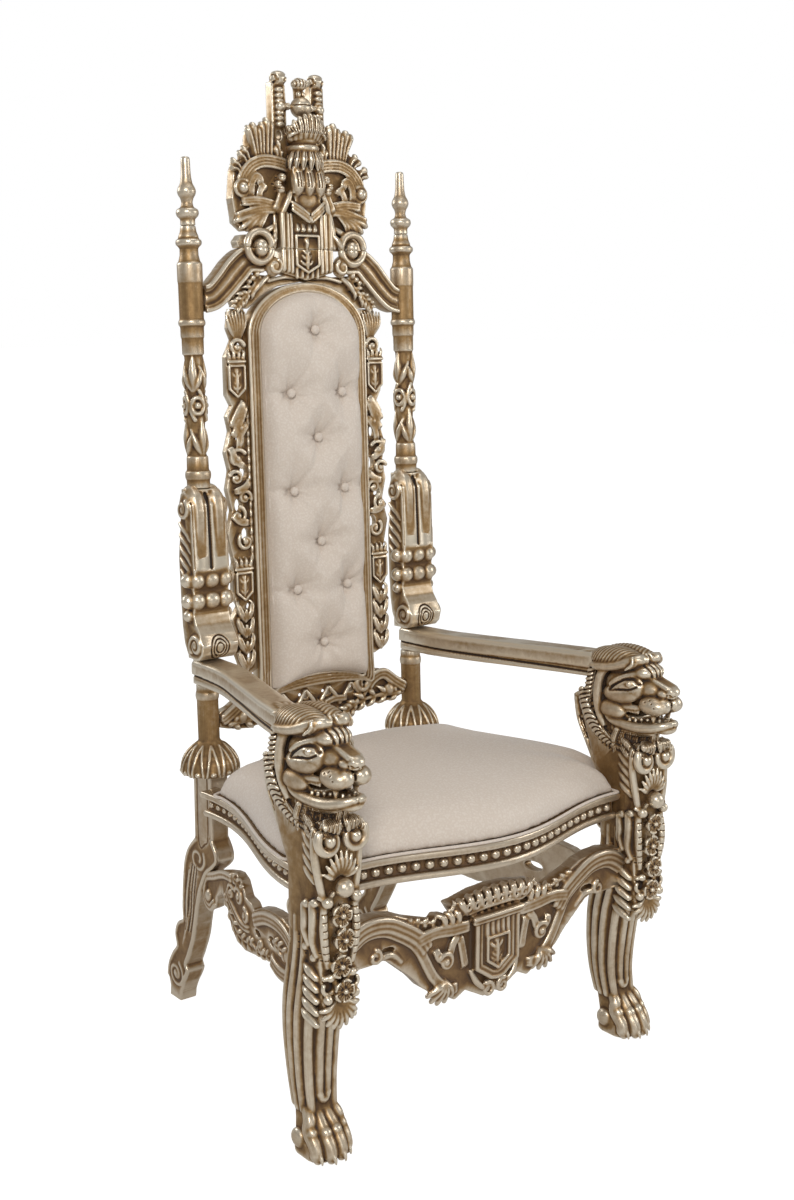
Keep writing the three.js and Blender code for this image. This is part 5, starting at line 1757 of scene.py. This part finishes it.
def addPanelShield(work, top, tip):
    addSlab(work, shieldRim(163, top, tip + 15, tip, 18)[:-1], -12, 0)
    addRim(work, shieldRim(163, top, tip + 15, tip, 17), 14, 2.4)
    addSprig(work, 163, top - 7, tip + 8, 9, 12, 2.4)
    addStroke(work, [(144, -14, top + 8, 3), (163, -15, top + 8, 3.2), (182, -14, top + 8, 3)], step=4)
    for n, x in enumerate((148, 158, 168, 178)):
        addStroke(work, [(x, -11, top + 13, 4.5), (x + (n - 1.5) * 1.5, -13, top + 24, 3),
                         (x + (n - 1.5) * 2, -9, top + 29, 1.8)], step=3)


def addPanelScroll(work, cx, cz, radius, start, turns):
    addFrontScroll(work, -11, cx, cz, radius, radius * 0.35, start, turns, 4.4, 3)
    addBall(work, (cx, -11, cz), (radius * 0.36, 5, radius * 0.36))


def makeSidePanel():
    work = newCarving()
    outline = [(panel["inner"], 1388)] + panel["edge"] + [(panel["inner"], 700)]
    addPierced(work, outline, [ovalHole(*hole) for hole in panel["holes"]], -6, 8)
    for n in range(7):
        x = 139 + 6 * n
        addStroke(work, [(150 + n * 2, -8, 1334, 3), (x + 2, -12, 1358, 3.6),
                         (x - 1 + n, -9, 1384 - abs(n - 3), 2)], step=4)
    addPanelScroll(work, 160, 1316, 17, 2.9, -1.0)
    addPanelShield(work, 1282, 1224)
    leaves = (((150, 1214), (166, 1190), (178, 1168)), ((146, 1206), (158, 1178), (176, 1150)),
              ((144, 1172), (160, 1150), (164, 1128)), ((182, 1128), (170, 1104), (152, 1092)),
              ((142, 1064), (156, 1052), (176, 1046)), ((180, 1000), (166, 988), (146, 986)))
    for leaf in leaves:
        addReeds(work, smoothLine(leaf), (-4, 0, 4), 3, 12, (1,), taper=0.4)
    for cx, cz, radius, start, turns in ((158, 1166, 16, 1.2, -0.9), (168, 1108, 20, 2.6, -0.9),
                                         (172, 1072, 15, 0.4, 1.0), (154, 1034, 15, 3.4, -1.0),
                                         (170, 1000, 18, 1.8, 0.9), (156, 950, 17, 0.8, -1.0)):
        addPanelScroll(work, cx, cz, radius, start, turns)
    for n in range(17):
        z = 1196 - 17 * n
        addStroke(work, [(140, -8, z, 3.2), (141, -10, z - 7, 3.6), (140, -8, z - 13, 2.6)], step=3)
    addPanelShield(work, 890, 838)
    for z in (826, 796, 764, 732):
        for side in (-1, 1):
            addStroke(work, [(163, -9, z - 30, 3.4), (163 + side * 11, -13, z - 16, 5),
                             (163 + side * 17, -11, z + 2, 4), (163 + side * 13, -8, z + 10, 2)],
                      step=4)
            addStroke(work, [(163, -13, z - 26, 2), (163 + side * 8, -16, z - 12, 2.4),
                             (163 + side * 12, -13, z + 2, 1.6)], step=4)
        addStroke(work, [(163, -12, z - 30, 3), (163, -15, z - 8, 3.4)], step=4)
    return limited(fuse(work, 1.4, panel["triangles"]), 0, low=panel["inner"])


finishPair("side_panel_carved", makeSidePanel(), "side_panel", gold, True)


# Ornament under the padded back: pierced lattice, a C-scroll and long leaves to each post.
lowOrnament = {
    "half": [(0, 651), (70, 651), (137, 651), (150, 659), (168, 656), (188, 645), (206, 634), (226, 628),
             (226, 597), (208, 592), (186, 588), (159, 585), (132, 590), (108, 583), (77, 566), (40, 554),
             (0, 548)],
    "triangles": 26000,
}


def makeLowerOrnament():
    work = newCarving()
    holes = [ovalHole(x, 632 - x * x / 2400, 15, 7) for x in (-84, -28, 28, 84)]
    addPierced(work, mirroredOutline(lowOrnament["half"]), holes, -6, 12)
    for side in (1, -1):
        addReeds(work, smoothLine([(222, 612), (196, 628), (166, 648), (138, 640), (124, 624)]), (-7, 0, 7),
                 4.6, 12, (side,))
        addFrontScroll(work, -12, side * 114, 636, 18, 6, math.pi / 2 + side * 1.0, side * 1.2, 6, 4)
        addBall(work, (side * 180, -10, 612), (14, 9, 13))
        addLeaf(work, smoothLine([(206, 602), (160, 604), (112, 600), (72, 582)]), 20, 5, 12, 6, (side,))
        addLeaf(work, smoothLine([(96, 600), (60, 580), (24, 562)]), 16, 4, 13, 5.5, (side,))
        for x in (112, 56, 0):
            addFronts(work, [[(x, 604, 8, 4.5), (x + 14, 624, 11, 4.5), (x + 26, 640, 9, 3.4)],
                             [(x, 604, 8, 4.5), (x - 14, 624, 11, 4.5), (x - 26, 640, 9, 3.4)]], (side,))
        addReeds(work, smoothLine([(70, 612), (40, 614), (10, 606)]), (-3, 3), 4, 11, (side,))
    addBall(work, (0, -10, 586), (14, 11, 16))
    for n in range(-3, 4):
        a = n * 0.34
        addStroke(work, [(10 * math.sin(a), -13, 592, 3.6),
                         (24 * math.sin(a), -14, 592 + 17 * math.cos(a), 4.4), (32 * math.sin(a),
                         -9, 592 + 26 * math.cos(a), 2.4)], step=3)
    return limited(fuse(work, 1.6, lowOrnament["triangles"]), 0, -226.5, 226.5)


finishPiece("lower_ornament_carved", makeLowerOrnament(), ["lower_ornament"], gold, True)


# Front stretcher: a crowned shield between leaf scrolls and two reeded arches that meet the legs.
frontRun = {
    "half": [(0, 386), (40, 384), (80, 376), (99, 374), (84, 352), (70, 336), (84, 346), (104, 356),
             (122, 360), (130, 352), (160, 362), (189, 372), (215, 384), (245, 391), (280, 393), (326, 384),
             (326, 309), (268, 308), (256, 316), (232, 306), (206, 284), (180, 262), (158, 238), (135, 221),
             (108, 210), (86, 196), (62, 208), (40, 196), (18, 184), (0, 192)],
    "triangles": 60000,
}


def addStretcherShield(work):
    addSlab(work, [(-50, 330), (50, 330), (50, 246), (0, 218), (-50, 246)], -30, 0)
    for half, shoulder, tip, h, r in ((47, 248, 222, 32, 4.6), (37, 252, 231, 31, 3.6)):
        for side in (-1, 1):
            addRim(work, [(side * half, 328), (side * half, shoulder), (side * half * 0.3, tip + 3),
                          (0, tip)], h, r)
    for n in range(-2, 3):
        addStroke(work, [(n * 12, -31, 328, 4.6), (n * 12, -32, 306, 4.6)], step=4)
    addRim(work, shieldRim(0, 300, 258, 240, 25), 35, 3.2)
    addSprig(work, 0, 294, 246, 14, 31, 3)
    for z, r, h in ((342, 4.5, 37), (334, 3.6, 35)):
        addStroke(work, [(-56, -h, z, r), (0, -h - 1, z, r), (56, -h, z, r)], step=6)
    addSlab(work, [(-57, 346), (57, 346), (53, 330), (-53, 330)], -34, 0)
    for side in (-1, 1):
        addFrontScroll(work, -27, side * 17, 201, 14, 5, math.pi / 2 - side * 0.3, side * 1.1, 5, 3.6)
        addStroke(work, [(side * 30, -26, 208, 5), (side * 44, -26, 222, 6), (side * 54, -22, 242, 5)],
                  step=4)


def addStretcherCrown(work):
    for n in range(-4, 5):
        x = n * 20
        top = 386 - 0.0011 * x * x
        addStroke(work, [(x * 0.8, -24, 352, 5), (x * 0.94, -28, 364, 6), (x, -27, top - 5, 7.5),
                         (x * 1.02, -20, top, 5)], step=4)
        if n < 4:
            addFrontScroll(work, -31, x * 0.92 + 9, 364, 8, 3, 1.0, 0.9, 2.8, 2.2, 14)
    addFronts(work, [[(-60, 352, 26, 4), (-30, 357, 29, 4.4), (0, 358, 30, 4.6)]])
    addLeaf(work, smoothLine([(66, 352), (82, 364), (98, 374)]), 10, 3, 24, 4)


def makeFrontStretcher():
    work = newCarving()
    holes = [ovalHole(side * 236, 326, 17, 6) for side in (1, -1)] + [ovalHole(side * 150, 272, 4, 13)
                                                            for side in (1, -1)]
    addPierced(work, mirroredOutline(frontRun["half"]), holes, -18, 10)
    addStretcherShield(work)
    addStretcherCrown(work)
    for side in (1, -1):
        arch = smoothLine([(322, 352), (286, 372), (244, 371), (206, 352), (176, 330), (158, 306)], 6)
        addReeds(work, arch, (-14, -5, 4), 5.6, 24, (side,), taper=0.7)
        addReeds(work, arch, (13,), 4.2, 21, (side,), taper=0.7)
        addFrontScroll(work, -20, side * 262, 322, 13, 4, math.pi / 2 + side * 0.2, side * 1.1, 4.6, 3.4)
        addStroke(work, [(side * 256, -16, 316, 6), (side * 228, -18, 318, 6), (side * 206, -16, 300, 5)],
                  step=4)
        sweep = smoothLine([(176, 326), (158, 290), (136, 252), (108, 226), (84, 222)], 6)
        addReeds(work, sweep, (-6, 0, 6), 4.4, 22, (side,), taper=0.6)
        addReeds(work, smoothLine([(176, 330), (140, 336), (100, 332), (60, 330)]), (-7, 0, 7), 4.4, 26,
                 (side,), taper=0.8)
        addLeaf(work, smoothLine([(196, 366), (168, 360), (132, 350)]), 10, 4, 20, 4.2, (side,))
        for x0, x1, x2 in ((122, 116, 128), (108, 100, 110), (94, 84, 90)):
            addStroke(work, [(side * x0, -20, 334, 4), (side * x1, -25, 346, 6),
                             (side * (x1 + 3), -25, 358, 6), (side * x2, -18, 362, 4)], step=4)
        addReeds(work, smoothLine([(132, 300), (124, 284), (104, 286), (96, 304), (84, 318)]), (-4, 0, 4),
                 3.8, 23, (side,))
        addFrontScroll(work, -25, side * 112, 276, 17, 6, math.pi / 2 - side * 0.9, side * 1.1, 5, 3.6)
        addBall(work, (side * 112, -24, 276), (7, 8, 7))
        addReeds(work, smoothLine([(78, 310), (72, 284), (66, 254)]), (-5, 0, 5), 3.4, 22, (side,))
        for n in range(5):
            a = -0.5 - 0.42 * n
            cx, cz = side * 112, 240
            tip = (cx + side * 44 * math.cos(a + 0.2) * 0.9, cz + 38 * math.sin(a))
            addStroke(work, [(cx, -20, cz, 5), ((cx + tip[0]) / 2, -26, (cz + tip[1]) / 2 + 3, 7),
                             (tip[0], -20, max(tip[1], 198), 4.6)], step=4)
            addStroke(work, [(cx, -25, cz, 2), ((cx + tip[0]) / 2, -32, (cz + tip[1]) / 2 + 3, 2.4),
                             (tip[0], -24, max(tip[1], 200), 1.8)], step=4)
    return limited(fuse(work, 1.8, frontRun["triangles"]), 0, -328, 328)


finishPiece("front_stretcher_carved", makeFrontStretcher(), ["front_stretcher"], rosyGold)


# Side stretchers, drawn flat from the outside with u running rearwards, then turned to the leg line.
sideRun = {
    "outline": [(558, 268), (535, 292), (508, 312), (470, 330), (430, 344), (390, 356), (368, 360),
                (344, 354), (325, 330), (297, 328), (285, 320), (257, 334), (226, 344), (190, 351),
                (150, 354), (110, 347), (44, 318), (44, 280), (110, 262), (150, 248), (182, 243),
                (203, 253), (240, 246), (284, 235), (331, 225), (374, 229), (400, 244), (410, 262),
                (425, 285), (450, 296), (474, 276), (482, 252), (505, 240), (530, 240), (558, 246)],
    "holes": [(372, 276, 6, 11), (268, 282, 14, 6), (196, 292, 22, 9)],
    "slope": 0.204,
    "spread": 259,
    "hinge": 540,
    "thick": 28,
    "triangles": 28000,
}


def makeSideStretcher():
    work = newCarving()
    addPierced(work, sideRun["outline"], [ovalHole(*hole) for hole in sideRun["holes"]], 7, sideRun["thick"])
    rearScroll = smoothLine([(486, 262), (500, 250), (522, 252), (536, 272), (524, 300), (480, 318),
                             (430, 338), (384, 346)], 6)
    addReeds(work, rearScroll, (-5, 3), 5, -5, (1,))
    addBall(work, (512, 6, 268), (13, 8, 13))
    frontScroll = smoothLine([(196, 262), (160, 254), (116, 262), (92, 292), (108, 324), (156, 338),
                              (220, 330), (276, 306)], 6)
    addReeds(work, frontScroll, (-8, 0, 8), 5, -4, (1,))
    addBall(work, (132, 8, 292), (12, 7, 12))
    addLeaf(work, smoothLine([(186, 300), (160, 298), (138, 294)]), 16, 3, -4, 4.4, (1,))
    for cu, cv, radius, start, turns in ((352, 322, 18, 0.4, 1.1), (392, 318, 16, 2.4, -1.0),
                                         (322, 296, 15, 1.4, 1.0), (246, 268, 14, 3.4, 1.0)):
        addFrontScroll(work, 5, cu, cv, radius, radius * 0.35, start, turns, 4.6, 3.2)
        addBall(work, (cu, 5, cv), (radius * 0.36, 6, radius * 0.36))
    addLeaf(work, smoothLine([(424, 300), (392, 270), (350, 246), (300, 250)]), 17, 6, -5, 4.6, (1,))
    addLeaf(work, smoothLine([(300, 262), (264, 252), (212, 262)]), 12, 4, -5, 4, (1,))
    addLeaf(work, smoothLine([(400, 340), (372, 350), (340, 340)]), 12, 4, -5, 4, (1,))
    addReeds(work, smoothLine([(416, 312), (384, 292), (344, 274), (306, 276)]), (-4, 4), 3.6, -5, (1,))
    mesh = fuse(work, 1.7, sideRun["triangles"])
    coords, _, _ = meshArrays(mesh)
    u, out, z = coords.T
    placed = np.column_stack((sideRun["spread"] + (sideRun["hinge"] - u) * sideRun["slope"] - out, u, z))
    setCoords(mesh, placed)
    return mesh


finishPair("side_stretcher_carved", makeSideStretcher(), "side_stretcher", rosyGold)


# Plain rail behind the seat.
def makeRearRail():
    work = newCarving()
    addBox(work, (-226, 486, 440), (226, 516, 491))
    for z in (447, 484):
        addStroke(work, [(-222, 517, z, 2.6), (222, 517, z, 2.6)], step=20)
    return fuse(work, 3, 3000)


finishPiece("seat_rail_rear_plain", makeRearRail(), ["seat_rail_rear"], rosyGold)
print("pieces ready")
